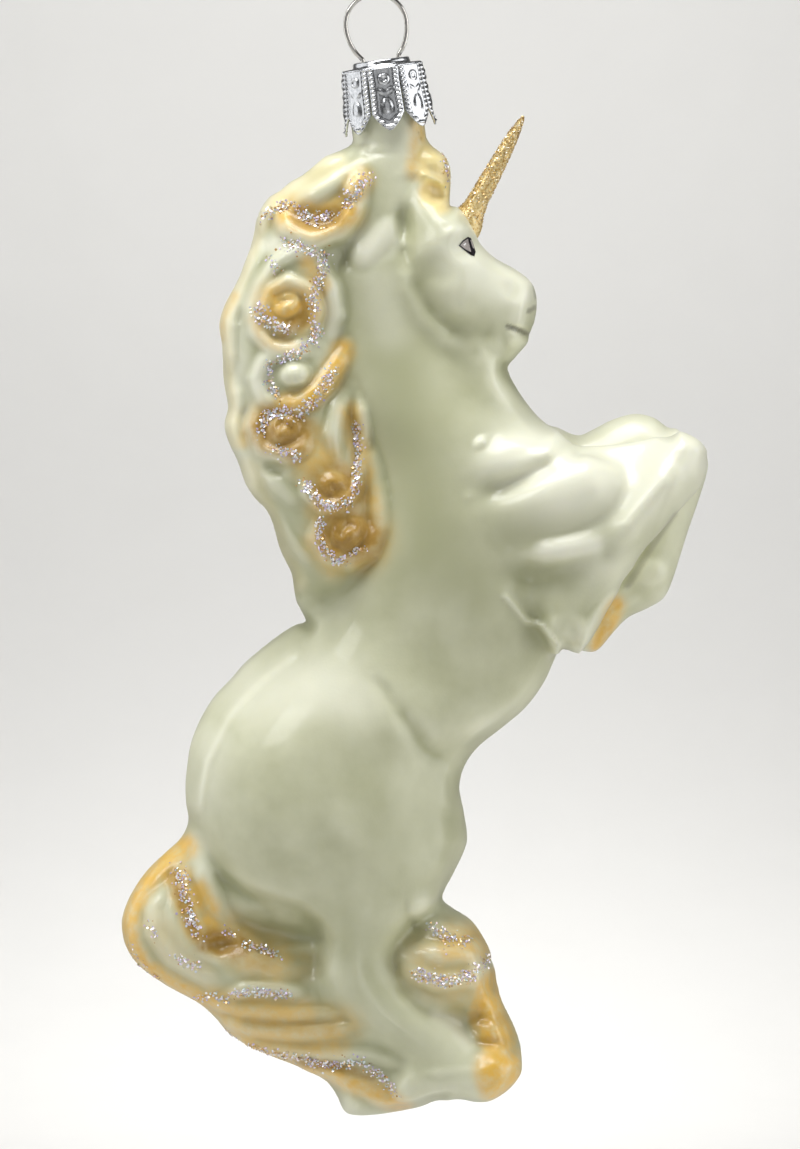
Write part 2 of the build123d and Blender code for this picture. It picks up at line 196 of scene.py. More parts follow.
HOOF_WEB = [
    (8.5, -121, 10, -113.5, 4), (13, -124, 13.5, -112.5, 7.2), (16.6, -123.5, 15.6, -114.5, 5.5),
]
print("stations of a hind leg:", len(RIGHT_HIND_LEG))

# %% [markdown]
# ## From stations to a field
# Between two stations the oval is blended, so every point of the middle plane gets a value: how
# far out it lies, as a share of the oval. The half width then carries that share across Y. A
# soft minimum joins limb to limb, with a melt radius for each: wide where flesh meets, tight
# where hair lies on the neck. Hot glass rounds every corner, so the whole field is averaged a
# little at the end.

# %% More stations on a smooth curve
DENSE_STEPS = 5


def smooth_curve(rows):
    """Extra rows on a smooth curve through the given ones, of which the outer two only steer it."""
    curve = []
    for a, b, c, d in zip(rows, rows[1:], rows[2:], rows[3:]):
        for t in np.arange(DENSE_STEPS) / DENSE_STEPS:
            bend = (2 * a - 5 * b + 4 * c - d) * t * t + (3 * b - a - 3 * c + d) * t ** 3
            curve.append(b + 0.5 * ((c - a) * t + bend))
    return np.array(curve)


def dense_stations(stations):
    """Many stations from a few: centre, direction, half length and half width of each."""
    rows = np.array(stations, float)
    padded = np.vstack([2 * rows[0] - rows[1], rows, 2 * rows[-1] - rows[-2]])
    curve = np.vstack([smooth_curve(padded), rows[-1]])
    across = curve[:, 2:4] - curve[:, :2]
    length = np.linalg.norm(across, axis=1)
    return (curve[:, :2] + curve[:, 2:4]) / 2, across / length[:, None], length / 2, curve[:, 4]


print("stations on the smooth curve of the trunk:", len(dense_stations(BARREL)[0]))

# %% Swell a row of stations, and melt it into the field
REACH = 7.0  # mm past its ovals that a limb is worked out for
NOT_REACHED = 1e3
PAST_END = 50.0  # keeps a stretch between two stations from going on past them
LEAST_SLOPE = 0.02  # keeps the middle of an oval from dividing by nothing


def soft_min(first, second, melt):
    """The lower of two fields, melted together over a radius in mm."""
    near = np.maximum(melt - np.abs(first - second), 0) / melt
    return np.minimum(first, second) - near * near * melt / 4


def swell(stations, melt, side=0.0, end_round=1.5, square=2.0):
    """Melts a row of ovals into the field, in mm; square over 2 fills out their corners."""
    centre, across, half, width = dense_stations(stations)
    forward = np.gradient(centre, axis=0)
    normal = np.stack([across[:, 1], -across[:, 0]], 1)
    normal *= np.sign((normal * forward).sum(1))[:, None]
    reach = REACH + half.max()
    window = []
    for steps, spine in ((grid_x, centre[:, 0]), (grid_z, centre[:, 1])):
        near = np.flatnonzero((steps > spine.min() - reach) & (steps < spine.max() + reach))
        window.append(slice(near[0], near[-1] + 1))
    px, pz = plan_x[tuple(window)], plan_z[tuple(window)]
    share = np.full(px.shape, NOT_REACHED)
    steep = np.full(px.shape, 1.0)
    wide = np.full(px.shape, float(width[0]))

    def past(i):
        return (px - centre[i, 0]) * normal[i, 0] + (pz - centre[i, 1]) * normal[i, 1]

    for i in range(len(half) - 1):
        start, end = past(i), past(i + 1)
        t = np.clip(start / np.where(start - end == 0, 1e-6, start - end), 0, 1)
        middle = [centre[i, k] + t * (centre[i + 1, k] - centre[i, k]) for k in (0, 1)]
        along = [across[i, k] + t * (across[i + 1, k] - across[i, k]) for k in (0, 1)]
        size = half[i] + t * (half[i + 1] - half[i])
        out = ((px - middle[0]) * along[0] + (pz - middle[1]) * along[1]) / size
        before = np.maximum(-start, 0) if i == 0 else np.where(start < 0, PAST_END, 0.0)
        after = np.maximum(end, 0) if i == len(half) - 2 else np.where(end > 0, PAST_END, 0.0)
        over = (before + after) / end_round
        value = out ** 2 + over ** 2
        better = value < share
        share = np.where(better, value, share)
        steep = np.where(better, (out / size) ** 2 + (over / end_round) ** 2, steep)
        wide = np.where(better, width[i] + t * (width[i + 1] - width[i]), wide)
    y = (grid_y - side)[None, :, None]
    wide = wide[:, None, :]
    reached = np.sqrt(share)[:, None, :] ** square + np.abs(y / wide) ** square
    level = reached ** (1 / square)
    slope = np.sqrt(steep[:, None, :] + (y / wide ** 2) ** 2)
    distance = (level - 1) * (level + LEAST_SLOPE * wide) / (slope + LEAST_SLOPE)
    spot = np.s_[window[0], :, window[1]]
    field[spot] = soft_min(field[spot], np.minimum(distance, FAR).astype(np.float32), melt)


print("a limb is worked out to", REACH, "mm past its ovals")

# %% The figure, limb by limb
ROUNDING = 2  # cells to each side
FIELD_LIMIT = 6  # mm
WEB_INSET = 1.5
ARM_OUTSET = 4.2
ELBOW_OUTSET = 5.3
CANNON_OUTSET = 2.0
HOOF_WEB_SIDE = -3.2


def box_blur(values, reach):
    """The field averaged over a cube of cells."""
    for axis in range(3):
        run = np.cumsum(np.moveaxis(values, axis, 0), axis=0, dtype=np.float64)
        before = np.vstack([np.zeros((1, *run.shape[1:])), run[:-2 * reach - 1]])
        mean = np.empty_like(run)
        mean[reach:-reach] = (run[2 * reach:] - before) / (2 * reach + 1)
        mean[:reach], mean[-reach:] = mean[reach], mean[-reach - 1]
        values = np.moveaxis(mean, 0, axis)
    return values


swell(BARREL, melt=0.5)
swell(RIGHT_HIND_LEG, melt=3.5, side=-HIND_SPREAD)
swell(LEFT_HIND_LEG, melt=3.5, side=HIND_SPREAD)
swell(RIGHT_FOREARM, melt=3.0, side=-FORE_SPREAD, end_round=3.0)
swell(LEFT_FOREARM, melt=3.0, side=FORE_SPREAD, end_round=3.0)
swell(FOLD_WEB, melt=3.0, side=-FORE_SPREAD + WEB_INSET)
for flank_side in (-1, 1):
    swell(UPPER_ARM, melt=2.0, side=flank_side * (FORE_SPREAD + ARM_OUTSET))
swell(ELBOW, melt=2.0, side=-FORE_SPREAD - ELBOW_OUTSET)
swell(RIGHT_CANNON, melt=2.5, side=-FORE_SPREAD - CANNON_OUTSET, end_round=3.0)
swell(LEFT_CANNON, melt=1.2, side=FORE_SPREAD, end_round=3.0)
swell(THROAT, melt=2.5, end_round=5.0)
swell(HEAD, melt=1.2, end_round=1.2, square=2.6)
swell(MANE, melt=1.0)
swell(TAIL, melt=3.0)
swell(TAIL_LOBE, melt=1.5)
swell(HOOF_WEB, melt=2.0, side=HOOF_WEB_SIDE)
swell(HEEL_WEB, melt=3.0, side=-HIND_SPREAD)
swell(FORELOCK, melt=0.8)
field = np.clip(field, -FIELD_LIMIT, FIELD_LIMIT)
field = box_blur(box_blur(field, ROUNDING), ROUNDING).astype(np.float32)
print("share of the grid inside the glass:", round(float((field < 0).mean()), 3))

# %% [markdown]
# ## Settling the outline
# The stations give the bulk, and the eye judges the edge. The edge was traced from the picture,
# so the field is shifted near it until its own silhouette falls on the traced line. Deeper
# inside the shift fades, and the roundness of the limbs stays.

# %% The traced edge, in photo pixels
EDGE = [
    (341, 143), (330, 152), (318, 163), (303, 176), (290, 182), (280, 192), (268, 198), (262, 208),
    (256, 220), (254, 235), (250, 250), (245, 262), (241, 275), (233, 290), (226, 302), (221, 315),
    (219, 325), (220, 335), (223, 345), (223, 375), (225, 390), (229, 408), (224, 422), (225, 432),
    (230, 445), (237, 457), (241, 468), (245, 482), (250, 492), (258, 502), (267, 509), (272, 520),
    (276, 535), (280, 550), (286, 562), (292, 573), (294, 590), (296, 602), (303, 614), (307, 623),
    (296, 624), (280, 634), (262, 648), (245, 662), (230, 680), (215, 695), (205, 710), (196, 728),
    (190, 745), (187, 765), (185, 785), (186, 805), (189, 820), (185, 832), (178, 842), (165, 853),
    (145, 872), (130, 895), (122, 915), (121, 928), (125, 948), (138, 967), (165, 986), (200, 1004),
    (216, 1019), (228, 1035), (260, 1053), (300, 1068), (325, 1080), (336, 1094), (343, 1112),
    (350, 1116), (365, 1117), (390, 1114), (420, 1108), (436, 1100), (458, 1095), (478, 1099),
    (490, 1098), (508, 1087), (520, 1072), (522, 1062), (520, 1042), (512, 1021), (501, 1000),
    (496, 980), (491, 962), (490, 950), (478, 929), (470, 919), (450, 907), (440, 899), (454, 873),
    (465, 850), (468, 838), (464, 812), (458, 787), (464, 765), (478, 746), (503, 727), (527, 707),
    (545, 682), (558, 650), (561, 645), (575, 651), (592, 655), (600, 652), (613, 636), (628, 619),
    (650, 610), (667, 600), (676, 575), (690, 530), (700, 502), (708, 475), (709, 462), (700, 442),
    (680, 430), (669, 430), (655, 418), (635, 414), (612, 421), (590, 433), (580, 438), (562, 434),
    (540, 420), (520, 395), (505, 368), (515, 358), (528, 343), (528, 336), (535, 320), (537, 298),
    (532, 282), (515, 269), (495, 259), (480, 245), (475, 233), (465, 215), (458, 207), (450, 207),
    (449, 205), (451, 180), (450, 165), (440, 149), (420, 142),
]
print(len(EDGE), "places on the edge")

# %% Shift the field on to the traced edge
EDGE_HOLD = 8  # weight of a traced place against that of its neighbours
EDGE_FADE = 5.0  # mm inwards over which added glass fades
CUT_FADE = 2.0  # mm inwards over which a cut fades
EDGE_LIMIT = 3.0
EDGE_TOP = -1.0  # above this height the neck stays as it is


def to_line(x, z, points):
    """Distance in mm from points of the middle plane to a line of points."""
    nearest = np.full(np.shape(x), 1e6)
    for (ax, az), (bx, bz) in zip(points, points[1:]):
        dx, dz = bx - ax, bz - az
        t = np.clip(((x - ax) * dx + (z - az) * dz) / (dx * dx + dz * dz + 1e-9), 0, 1)
        nearest = np.minimum(nearest, (x - ax - t * dx) ** 2 + (z - az - t * dz) ** 2)
    return np.sqrt(nearest)


def within(x, z, points):
    """Whether points of the middle plane lie inside a closed line."""
    inside = np.zeros(np.shape(x), bool)
    for (ax, az), (bx, bz) in zip(points, np.roll(points, -1, axis=0)):
        if az != bz:
            inside ^= ((az > z) != (bz > z)) & (x < ax + (z - az) * (bx - ax) / (bz - az))
    return inside


edge = from_photo(EDGE)
beside = np.roll(edge, 1, axis=0) + np.roll(edge, -1, axis=0)
edge = (beside + EDGE_HOLD * edge) / (EDGE_HOLD + 2)
edge = smooth_curve(np.vstack([edge[-1:], edge, edge[:2]]))
closed_edge = np.vstack([edge, edge[:1]])
to_edge = to_line(plan_x, plan_z, closed_edge) * np.where(within(plan_x, plan_z, edge), -1, 1)
silhouette = field.min(axis=1)
shift = np.clip(to_edge - silhouette, -EDGE_LIMIT, EDGE_LIMIT)
fade = np.where(shift > 0, CUT_FADE, EDGE_FADE)
shift *= np.clip(1 + np.minimum(to_edge, 0) / fade, 0, 1) * np.clip(EDGE_TOP - plan_z, 0, 1)
field += shift[:, None, :].astype(np.float32)
print("largest shift at the edge, mm:", round(float(np.abs(shift[np.abs(to_edge) < 1]).max()), 2))

# %% [markdown]
# ## Relief pressed in by the mould
# Locks and curls are drawn on the middle plane as rolls: lines with a round top, in millimetres
# of height. Where two rolls cross, the higher one wins, which leaves the crisp valley that
# combed hair has. Muscles and creases are softer, so they are domes and soft strokes that add
# up. All of it is taken off the field on both flanks, and fades at the middle plane, where it
# would spoil the outline.

# %% Rolled locks: photo pixels, half width in pixels, height in mm
MANE_LOCKS = [
    ([(345, 150), (320, 168), (298, 186), (276, 200), (264, 216), (259, 236)], 13, 1.5),
    ([(262, 236), (252, 262), (240, 290), (229, 318), (228, 348), (230, 376)], 11, 1.4),
    ([(230, 372), (236, 402), (232, 425), (238, 450), (250, 478), (262, 500)], 11, 1.3),
    ([(362, 165), (345, 172), (322, 186), (300, 196), (284, 208)], 15, 1.9),
    ([(275, 208), (288, 228), (312, 240), (338, 234), (354, 214), (364, 188)], 11, 1.8),
    ([(302, 212), (318, 219), (334, 210)], 8, 0.9),
    ([(318, 256), (296, 250), (276, 262), (260, 284), (252, 308), (257, 332), (273, 348),
      (295, 350), (315, 340)], 10, 1.6),
    ([(312, 330), (318, 308), (308, 288), (288, 280), (270, 290), (264, 308), (272, 324),
      (288, 328), (300, 318)], 9, 1.6), ([(328, 268), (334, 290), (338, 315), (330, 335)], 10, 1.4),
    ([(315, 352), (290, 352), (266, 358), (256, 378), (264, 398), (285, 404)], 9, 1.4),
    ([(347, 342), (338, 364), (322, 386), (300, 402), (276, 404)], 11, 1.8),
    ([(258, 404), (252, 425), (262, 448), (284, 455), (304, 446), (310, 428)], 9, 1.4),
    ([(350, 385), (340, 408), (334, 432), (338, 458)], 12, 1.6),
    ([(357, 395), (364, 425), (365, 455), (358, 485), (345, 500), (325, 505), (308, 492),
      (303, 475)], 8, 1.6),
    ([(363, 436), (373, 468), (379, 498), (379, 525), (370, 548), (350, 560), (328, 553),
      (317, 535), (319, 515)], 11, 1.6),
    ([(262, 462), (275, 482), (292, 496), (310, 508)], 10, 1.2),
    ([(255, 495), (272, 512), (285, 530), (300, 548), (322, 566)], 10, 1.1),
    ([(285, 560), (300, 580), (325, 590)], 12, 0.8),
]
CURL_BUTTONS = [
    ([(284, 306), (290, 303)], 13, 1.8), ([(293, 373), (298, 373)], 14, 2.1),
    ([(281, 429), (288, 426)], 14, 1.5), ([(332, 481), (339, 484)], 12, 1.5),
    ([(346, 533), (355, 529)], 15, 1.7), ([(362, 256), (376, 243), (389, 229)], 15, 0.8),
    ([(353, 190), (360, 180)], 11, 1.7),
]
TAIL_LOCKS = [
    ([(184, 848), (160, 866), (142, 888), (132, 914), (134, 942), (150, 968), (178, 986),
      (212, 1002)], 12, 1.4),
    ([(165, 878), (152, 905), (154, 932), (172, 956), (200, 972), (228, 984)], 11, 1.2),
    ([(172, 866), (184, 892), (194, 918), (206, 945), (224, 962)], 10, 1.2),
    ([(196, 845), (206, 872), (218, 900), (236, 922)], 13, 1.8),
    ([(222, 880), (240, 902), (262, 918), (290, 930)], 13, 1.3),
    ([(245, 915), (280, 925), (312, 928)], 17, 1.1),
    ([(222, 948), (250, 960), (285, 966), (312, 962)], 15, 1.3),
    ([(222, 993), (250, 985), (282, 984), (312, 993)], 9, 1.7),
    ([(203, 1000), (240, 1007), (290, 1010), (345, 1010)], 8, 1.3),
    ([(214, 1018), (250, 1029), (300, 1030), (360, 1022)], 9, 1.4),
    ([(226, 1036), (270, 1049), (320, 1052), (370, 1050), (405, 1062)], 9, 1.5),
    ([(285, 1063), (330, 1072), (365, 1086), (395, 1106)], 11, 1.5),
    ([(330, 1085), (350, 1100), (370, 1110)], 12, 1.2),
    ([(418, 918), (446, 926), (476, 926)], 10, 1.2),
    ([(412, 942), (440, 950), (468, 948), (488, 940)], 11, 1.6),
    ([(405, 965), (435, 978), (468, 976), (496, 960)], 10, 1.6),
    ([(405, 985), (430, 1000), (455, 1005)], 10, 1.0),
]
LOCK_BED = 0.5  # mm that the hair is sunk as a whole
MANE_RISE = 0.85  # share of the listed heights
TAIL_RISE = 0.65
print("rolled locks:", len(MANE_LOCKS) + len(TAIL_LOCKS))

# %% Creases and soft ridges in the flesh: photo pixels, half width in pixels, height in mm
FLESH_LINES = [
    ([(300, 645), (285, 660), (265, 675), (245, 695), (230, 715), (220, 735), (208, 760),
      (203, 785), (199, 815)], 5, 0.3), ([(370, 670), (384, 684), (398, 706)], 6, -0.35),
    ([(390, 692), (410, 722), (425, 745), (450, 768)], 9, -0.5),
    ([(275, 800), (295, 835), (345, 880)], 16, 0.4),
    ([(330, 790), (350, 830), (400, 868)], 16, 0.3),
    ([(215, 868), (245, 890), (300, 905), (326, 930)], 7, -0.4),
    ([(468, 494), (500, 484), (535, 468), (570, 450)], 11, -0.9),
    ([(690, 452), (657, 486), (626, 526), (604, 552)], 15, 1.5),
    ([(276, 310), (282, 301), (291, 299), (297, 305)], 3.5, -0.8),
    ([(275, 430), (283, 421), (292, 426), (291, 436)], 3.5, -0.8),
    ([(328, 478), (337, 488), (347, 485)], 3.5, -0.7),
    ([(343, 540), (341, 529), (349, 521), (359, 527)], 3.5, -0.8),
    ([(500, 588), (515, 605), (525, 617), (540, 622), (548, 632), (561, 648)], 3, 0.6),
    ([(402, 250), (408, 288), (422, 316), (445, 338), (474, 352)], 10, 0.8),
    ([(506, 326), (518, 329), (530, 335)], 2.5, -0.9),
    ([(533, 284), (535, 296), (532, 306)], 3, -0.7), ([(527, 311), (532, 309)], 3, -0.6),
    ([(440, 240), (456, 229), (474, 232)], 5, 0.3), ([(418, 172), (432, 178), (448, 186)], 3, 0.6),
]
print(len(FLESH_LINES), "creases and ridges")

# %% Muscles, hollows and pits: centre, half length, half height, tilt, height in mm, sharpness
DOMES = [
    ((318, 217), 16, 9, 0, -0.9), ((275, 466), 12, 8, 0, -0.6), ((338, 254), 14, 20, 0, -1.0),
    ((220, 943), 15, 9, -5, -1.2), ((522, 452), 44, 22, -14, 1.5), ((315, 780), 110, 105, -20, 1.5),
    ((440, 655), 80, 55, 40, -0.8, 1.2), ((530, 574), 34, 13, 5, -0.4),
    ((650, 573), 17, 12, 0, 1.1), ((437, 268), 18, 16, 0, -0.5), ((463, 248), 13, 11, 0, -0.6),
    ((404, 222), 9, 16, 0, -0.7), ((432, 193), 13, 9, 30, -1.1, 2.0), ((435, 160), 14, 10, 30, 0.6),
    ((512, 290), 12, 8, 30, -0.4), ((480, 440), 7, 4, -40, 0.6), ((488, 1015), 16, 5, 5, -0.3),
    ((490, 1038), 14, 4, 0, -0.3), ((470, 300), 26, 20, 20, 0.5),
]
print(len(DOMES), "muscles and hollows")

# %% Heights of rolls, strokes and domes
END_HEIGHT = 0.3  # share that is left at the ends of a lock
END_WIDTH = 0.5
ROLL_ROUND = 0.7


def reach_of(points, half_width, taper):
    """How far places lie from a line, in half widths, and a share that falls off at its ends."""
    line = from_photo(points)
    width = half_width / PIXELS_PER_MM
    to_end = np.minimum(*[np.hypot(plan_x - x, plan_z - z) for x, z in (line[0], line[-1])])
    return to_line(plan_x, plan_z, line) / width, np.clip(to_end / (taper * width), 0, 1)


def roll_height(points, half_width, height, taper=2.0):
    """A lock with a round top along a line, and no rise beside it; its ends run out narrow and low.
    """
    far, share = reach_of(points, half_width, taper)
    tallness = END_HEIGHT + (1 - END_HEIGHT) * share
    width = END_WIDTH + (1 - END_WIDTH) * share
    return height * tallness * np.clip(1 - (far / width) ** 2, 0, 1) ** ROLL_ROUND


def stroke_height(points, half_width, height, taper=2.5):
    """A soft-edged ridge or groove along a line, which fades out at its ends."""
    far, share = reach_of(points, half_width, taper)
    return height * share * np.exp(-far ** 2)


def dome_height(centre, half_long, half_short, tilt, height, sharpness=1.5):
    """A soft oval swelling or hollow; tilt is in degrees, clockwise in the picture."""
    x, z = from_photo(centre)
    turn = math.radians(-tilt)
    run = (plan_x - x) * math.cos(turn) + (plan_z - z) * math.sin(turn)
    over = (plan_z - z) * math.cos(turn) - (plan_x - x) * math.sin(turn)
    far = ((run / half_long) ** 2 + (over / half_short) ** 2) * PIXELS_PER_MM ** 2
    return height * np.exp(-far ** sharpness)


print("the first lock is", round(float(roll_height(*MANE_LOCKS[0]).max()), 2), "mm high")

# %% Press the relief into both flanks
RELIEF_STARTS = 0.5  # mm from the middle plane
RELIEF_FULL = 4.0
BLUNT = 0.01  # a taper so short that a button keeps its round ends


def plan_blur(values):
    """A map of the middle plane, softened over one cell."""
    for axis in (0, 1):
        values = (np.roll(values, 1, axis) + 2 * values + np.roll(values, -1, axis)) / 4
    return values


hair = np.zeros_like(plan_x)
for lock in MANE_LOCKS:
    hair = np.maximum(hair, MANE_RISE * roll_height(*lock))
for lock in TAIL_LOCKS:
    hair = np.maximum(hair, TAIL_RISE * roll_height(*lock))
for button in CURL_BUTTONS:
    hair = np.maximum(hair, roll_height(*button, taper=BLUNT))
bed = plan_blur(plan_blur(plan_blur((hair > 0).astype(float))))
relief = plan_blur(hair) - LOCK_BED * bed
for line in FLESH_LINES:
    relief += stroke_height(*line)
for dome in DOMES:
    relief += dome_height(*dome)
flank = np.clip((np.abs(grid_y) - RELIEF_STARTS) / (RELIEF_FULL - RELIEF_STARTS), 0, 1)
flank = flank * flank * (3 - 2 * flank)
field -= (relief[:, None, :] * flank[None, :, None]).astype(np.float32)
print("relief from", round(float(relief.min()), 2), "to", round(float(relief.max()), 2), "mm")

# %% [markdown]
# ## The open neck
# The figure was blown through its neck, which stays a tube under the cap. It shows when the cap
# is lifted off, so it has its real wall and bore.

# %% Neck tube and bore, in mm
BORE_RADIUS = 4.1
BORE_OVERRUN = 2.0
NECK_ROOT = 11.0
TUBE_SET_BACK = 0.3
TUBE_RADIUS = 4.85
TUBE_RAISED = 6.0  # from the foot of the bore
TUBE_MELT = 0.8

axis_height = plan_x * neck_up[0] + plan_z * neck_up[2]
axis_offset = plan_x * neck_up[2] - plan_z * neck_up[0]
from_axis, from_tube = (np.sqrt(offset[:, None, :] ** 2 + grid_y[None, :, None] ** 2)
                        for offset in (axis_offset, axis_offset + TUBE_SET_BACK))
above_rim = (axis_height - NECK_LENGTH)[:, None, :]
below_root = (-NECK_ROOT - axis_height)[:, None, :]
tube = np.maximum(np.maximum(from_tube - TUBE_RADIUS, above_rim), below_root + TUBE_RAISED)
bore = np.maximum(np.maximum(from_axis - BORE_RADIUS, above_rim - BORE_OVERRUN), below_root)
field = np.maximum(soft_min(field, tube.astype(np.float32), TUBE_MELT), -bore.astype(np.float32))
print("neck bore is", round(NECK_LENGTH + NECK_ROOT, 1), "mm deep")

# %% [markdown]
# ## From field to mesh
# Surface nets put one point in each grid cell that the glass passes through, and join neighbours
# with quads. That gives an even, smooth net, where marching cubes gives slivers. Each point is
# then pulled exactly on to the surface.

# %% Surface nets
def surface_net(values):
    """Points, in cells, and quads of the surface where the values cross zero."""
    inside = values < 0
    corners = [(i, j, k) for i in (0, 1) for j in (0, 1) for k in (0, 1)]
    size = [n - 1 for n in values.shape]
    count = sum(inside[i:i + size[0], j:j + size[1], k:k + size[2]].astype(np.int8)
                for i, j, k in corners)
    crossed = (count > 0) & (count < 8)
    cells = np.argwhere(crossed)
    number = np.full(crossed.shape, -1, np.int64)
    number[crossed] = np.arange(len(cells))
    total = np.zeros((len(cells), 3))
    hits = np.zeros(len(cells))
    for a in corners:
        for b in corners:
            if sum(abs(p - q) for p, q in zip(a, b)) == 1 and a < b:
                at_a = values[tuple((cells + a).T)]
                at_b = values[tuple((cells + b).T)]
                cut = (at_a < 0) != (at_b < 0)
                t = np.where(cut, at_a / np.where(cut, at_a - at_b, 1), 0)
                total += cut[:, None] * (np.array(a) + t[:, None] * (np.array(b) - np.array(a)))
                hits += cut
    quads = []
    for axis in range(3):
        first = np.moveaxis(inside, axis, 0)
        order = np.moveaxis(number, axis, 0)
        change = (first[:-1] != first[1:])[:, 1:-1, 1:-1]
        place = np.argwhere(change)
        leaves = first[:-1, 1:-1, 1:-1][change]
        i, u, v = place.T
        ring = np.stack([order[i, u + a, v + b] for a, b in ((0, 0), (1, 0), (1, 1), (0, 1))], 1)
        flip = leaves if axis == 1 else ~leaves
        ring[flip] = ring[flip][:, ::-1]
        quads.append(ring)
    return cells + total / hits[:, None], np.vstack(quads)


points, quads = surface_net(field)
print("glass surface:", len(points), "points,", len(quads), "quads")

# %% Pull the points on to the surface, in cells
PULL_ROUNDS = 2
PULL_LIMIT = 0.6
HALF_CELL = 0.5
LEAST_STEEP = 0.01


def sample(values, points):
    """The field at points given in cells, blended between the corners of each cell."""
    low = np.clip(np.floor(points).astype(int), 0, np.array(values.shape) - 2)
    part = points - low
    total = np.zeros(len(points))
    for i in (0, 1):
        for j in (0, 1):
            for k in (0, 1):
                weight = np.prod(np.where([i, j, k], part, 1 - part), axis=1)
                total += weight * values[low[:, 0] + i, low[:, 1] + j, low[:, 2] + k]
    return total


for _ in range(PULL_ROUNDS):
    slope = np.stack([sample(field, points + step) - sample(field, points - step)
                      for step in np.eye(3) * HALF_CELL], 1)
    pull = sample(field, points) / np.maximum((slope ** 2).sum(1), LEAST_STEEP)
    points = points - np.clip(pull, -PULL_LIMIT, PULL_LIMIT)[:, None] * slope
points_mm = points * CELL + LOW
print("mean miss of the surface, mm:", round(float(np.abs(sample(field, points)).mean()), 4))

# %% A mesh object from numbers
def show(name, mesh):
    """A smooth-shaded object in the scene, for a finished mesh."""
    mesh.shade_smooth()
    made = bpy.data.objects.new(name, mesh)
    bpy.context.scene.collection.objects.link(made)
    return made


def mesh_object(name, points_in_mm, faces, at=neck_foot):
    """An object from points in mm, measured from a point of the shared frame."""
    mesh = bpy.data.meshes.new(name)
    in_metres = (np.asarray(points_in_mm) + at) * MM
    mesh.from_pydata(in_metres.tolist(), [], np.asarray(faces).tolist())
    return show(name, mesh)


glass_figure = mesh_object("glass_figure", points_mm, quads)
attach(glass_figure, "figure")
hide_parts("glass_body")
print("glass_figure:", len(glass_figure.data.polygons), "faces")

# %% [markdown]
# ## Where the colours lie
# The colours were airbrushed by hand, so their edges are soft and uneven. Each point of the
# glass keeps a few weights from 0 to 1: amber, deep amber that also stands for painted shade,
# cream, white that also stands for painted highlights, painted shade, and grey lines of painted
# shade. One more says how hollow it lies; by it the material paints shade in the hollows and
# highlight on the ridges, and lets paint pool in the hollows. The material mixes its colours by
# them.

# %% Strokes of amber: photo pixels, half width in pixels, strength
AMBER_STROKES = [
    ([(428, 192), (440, 200)], 9, 0.75), ([(615, 606), (607, 630), (600, 650)], 11, 1.0),
    ([(290, 213), (318, 222), (345, 212)], 18, 1.0), ([(352, 195), (360, 180)], 14, 0.8),
    ([(280, 304), (300, 308)], 24, 1.0), ([(234, 296), (221, 318), (221, 338)], 6, 0.6),
    ([(343, 350), (330, 378), (310, 398), (285, 404)], 12, 1.0),
    ([(270, 425), (290, 432)], 22, 1.0), ([(302, 440), (318, 460)], 24, 0.75),
    ([(330, 505), (345, 512)], 22, 0.8), ([(332, 480), (345, 486)], 22, 1.0),
    ([(350, 412), (360, 450), (366, 480), (372, 505)], 12, 0.6),
    ([(258, 318), (268, 338), (290, 345)], 10, 0.5), ([(343, 532), (358, 536)], 30, 1.0),
    ([(318, 540), (335, 562)], 16, 0.5), ([(308, 262), (322, 285), (312, 300)], 10, 0.7),
    ([(419, 128), (419, 150), (416, 170)], 11, 0.75), ([(250, 425), (245, 440)], 8, 0.5),
    ([(186, 845), (160, 862), (142, 885), (130, 910), (128, 940), (142, 965), (170, 983),
      (210, 1002)], 13, 1.0), ([(165, 866), (180, 876)], 15, 0.9),
    ([(176, 872), (185, 900), (198, 930)], 12, 0.9),
    ([(198, 888), (210, 908), (212, 936), (236, 944)], 13, 0.85),
    ([(222, 930), (250, 950), (275, 958)], 24, 0.55), ([(270, 955), (298, 962)], 20, 0.25),
    ([(205, 1002), (250, 1010), (300, 1014)], 20, 0.75), ([(300, 1014), (345, 1020)], 20, 0.4),
    ([(228, 1030), (270, 1038), (330, 1036)], 20, 0.7),
    ([(150, 925), (170, 945), (195, 968)], 26, 0.22),
    ([(230, 1042), (290, 1062), (340, 1075), (375, 1088), (402, 1106)], 12, 0.9),
    ([(452, 940), (482, 940)], 20, 0.75), ([(430, 960), (470, 985)], 30, 0.4),
]
HOOF_STROKES = [
    ([(499, 1064), (504, 1080)], 26, 1.0), ([(494, 985), (486, 1010), (498, 1036)], 19, 1.0),
]
# Deeper amber, which in the lower curls, the pit of the tail and the hooves also stands for painted
# shade.
DEEP_AMBER_AND_SHADE_STROKES = [
    ([(428, 192), (438, 198)], 8, 0.9), ([(607, 628), (603, 644)], 8, 0.3),
    ([(332, 482), (345, 488)], 24, 0.9), ([(343, 532), (358, 534)], 26, 1.0),
    ([(274, 428), (292, 432)], 24, 1.0), ([(222, 938), (262, 952)], 16, 0.4),
    ([(250, 1020), (330, 1024)], 7, 0.2), ([(260, 1040), (340, 1044)], 6, 0.1),
    ([(300, 219), (318, 223), (336, 215)], 10, 0.9), ([(266, 318), (285, 330), (303, 318)], 8, 0.8),
    ([(262, 418), (270, 438), (290, 445)], 8, 0.7), ([(174, 872), (184, 900), (198, 932)], 7, 0.9),
    ([(210, 937), (238, 944)], 15, 1.0), ([(300, 1060), (340, 1064), (372, 1072)], 6, 0.8),
    ([(474, 1014), (502, 1016)], 7, 0.3), ([(480, 1037), (502, 1038)], 6, 0.3),
    ([(342, 525), (352, 520)], 5, 0.6), ([(330, 475), (345, 478)], 5, 0.4),
]
print("strokes of amber:", len(AMBER_STROKES) + len(HOOF_STROKES) + len(DEEP_AMBER_AND_SHADE_STROKES))
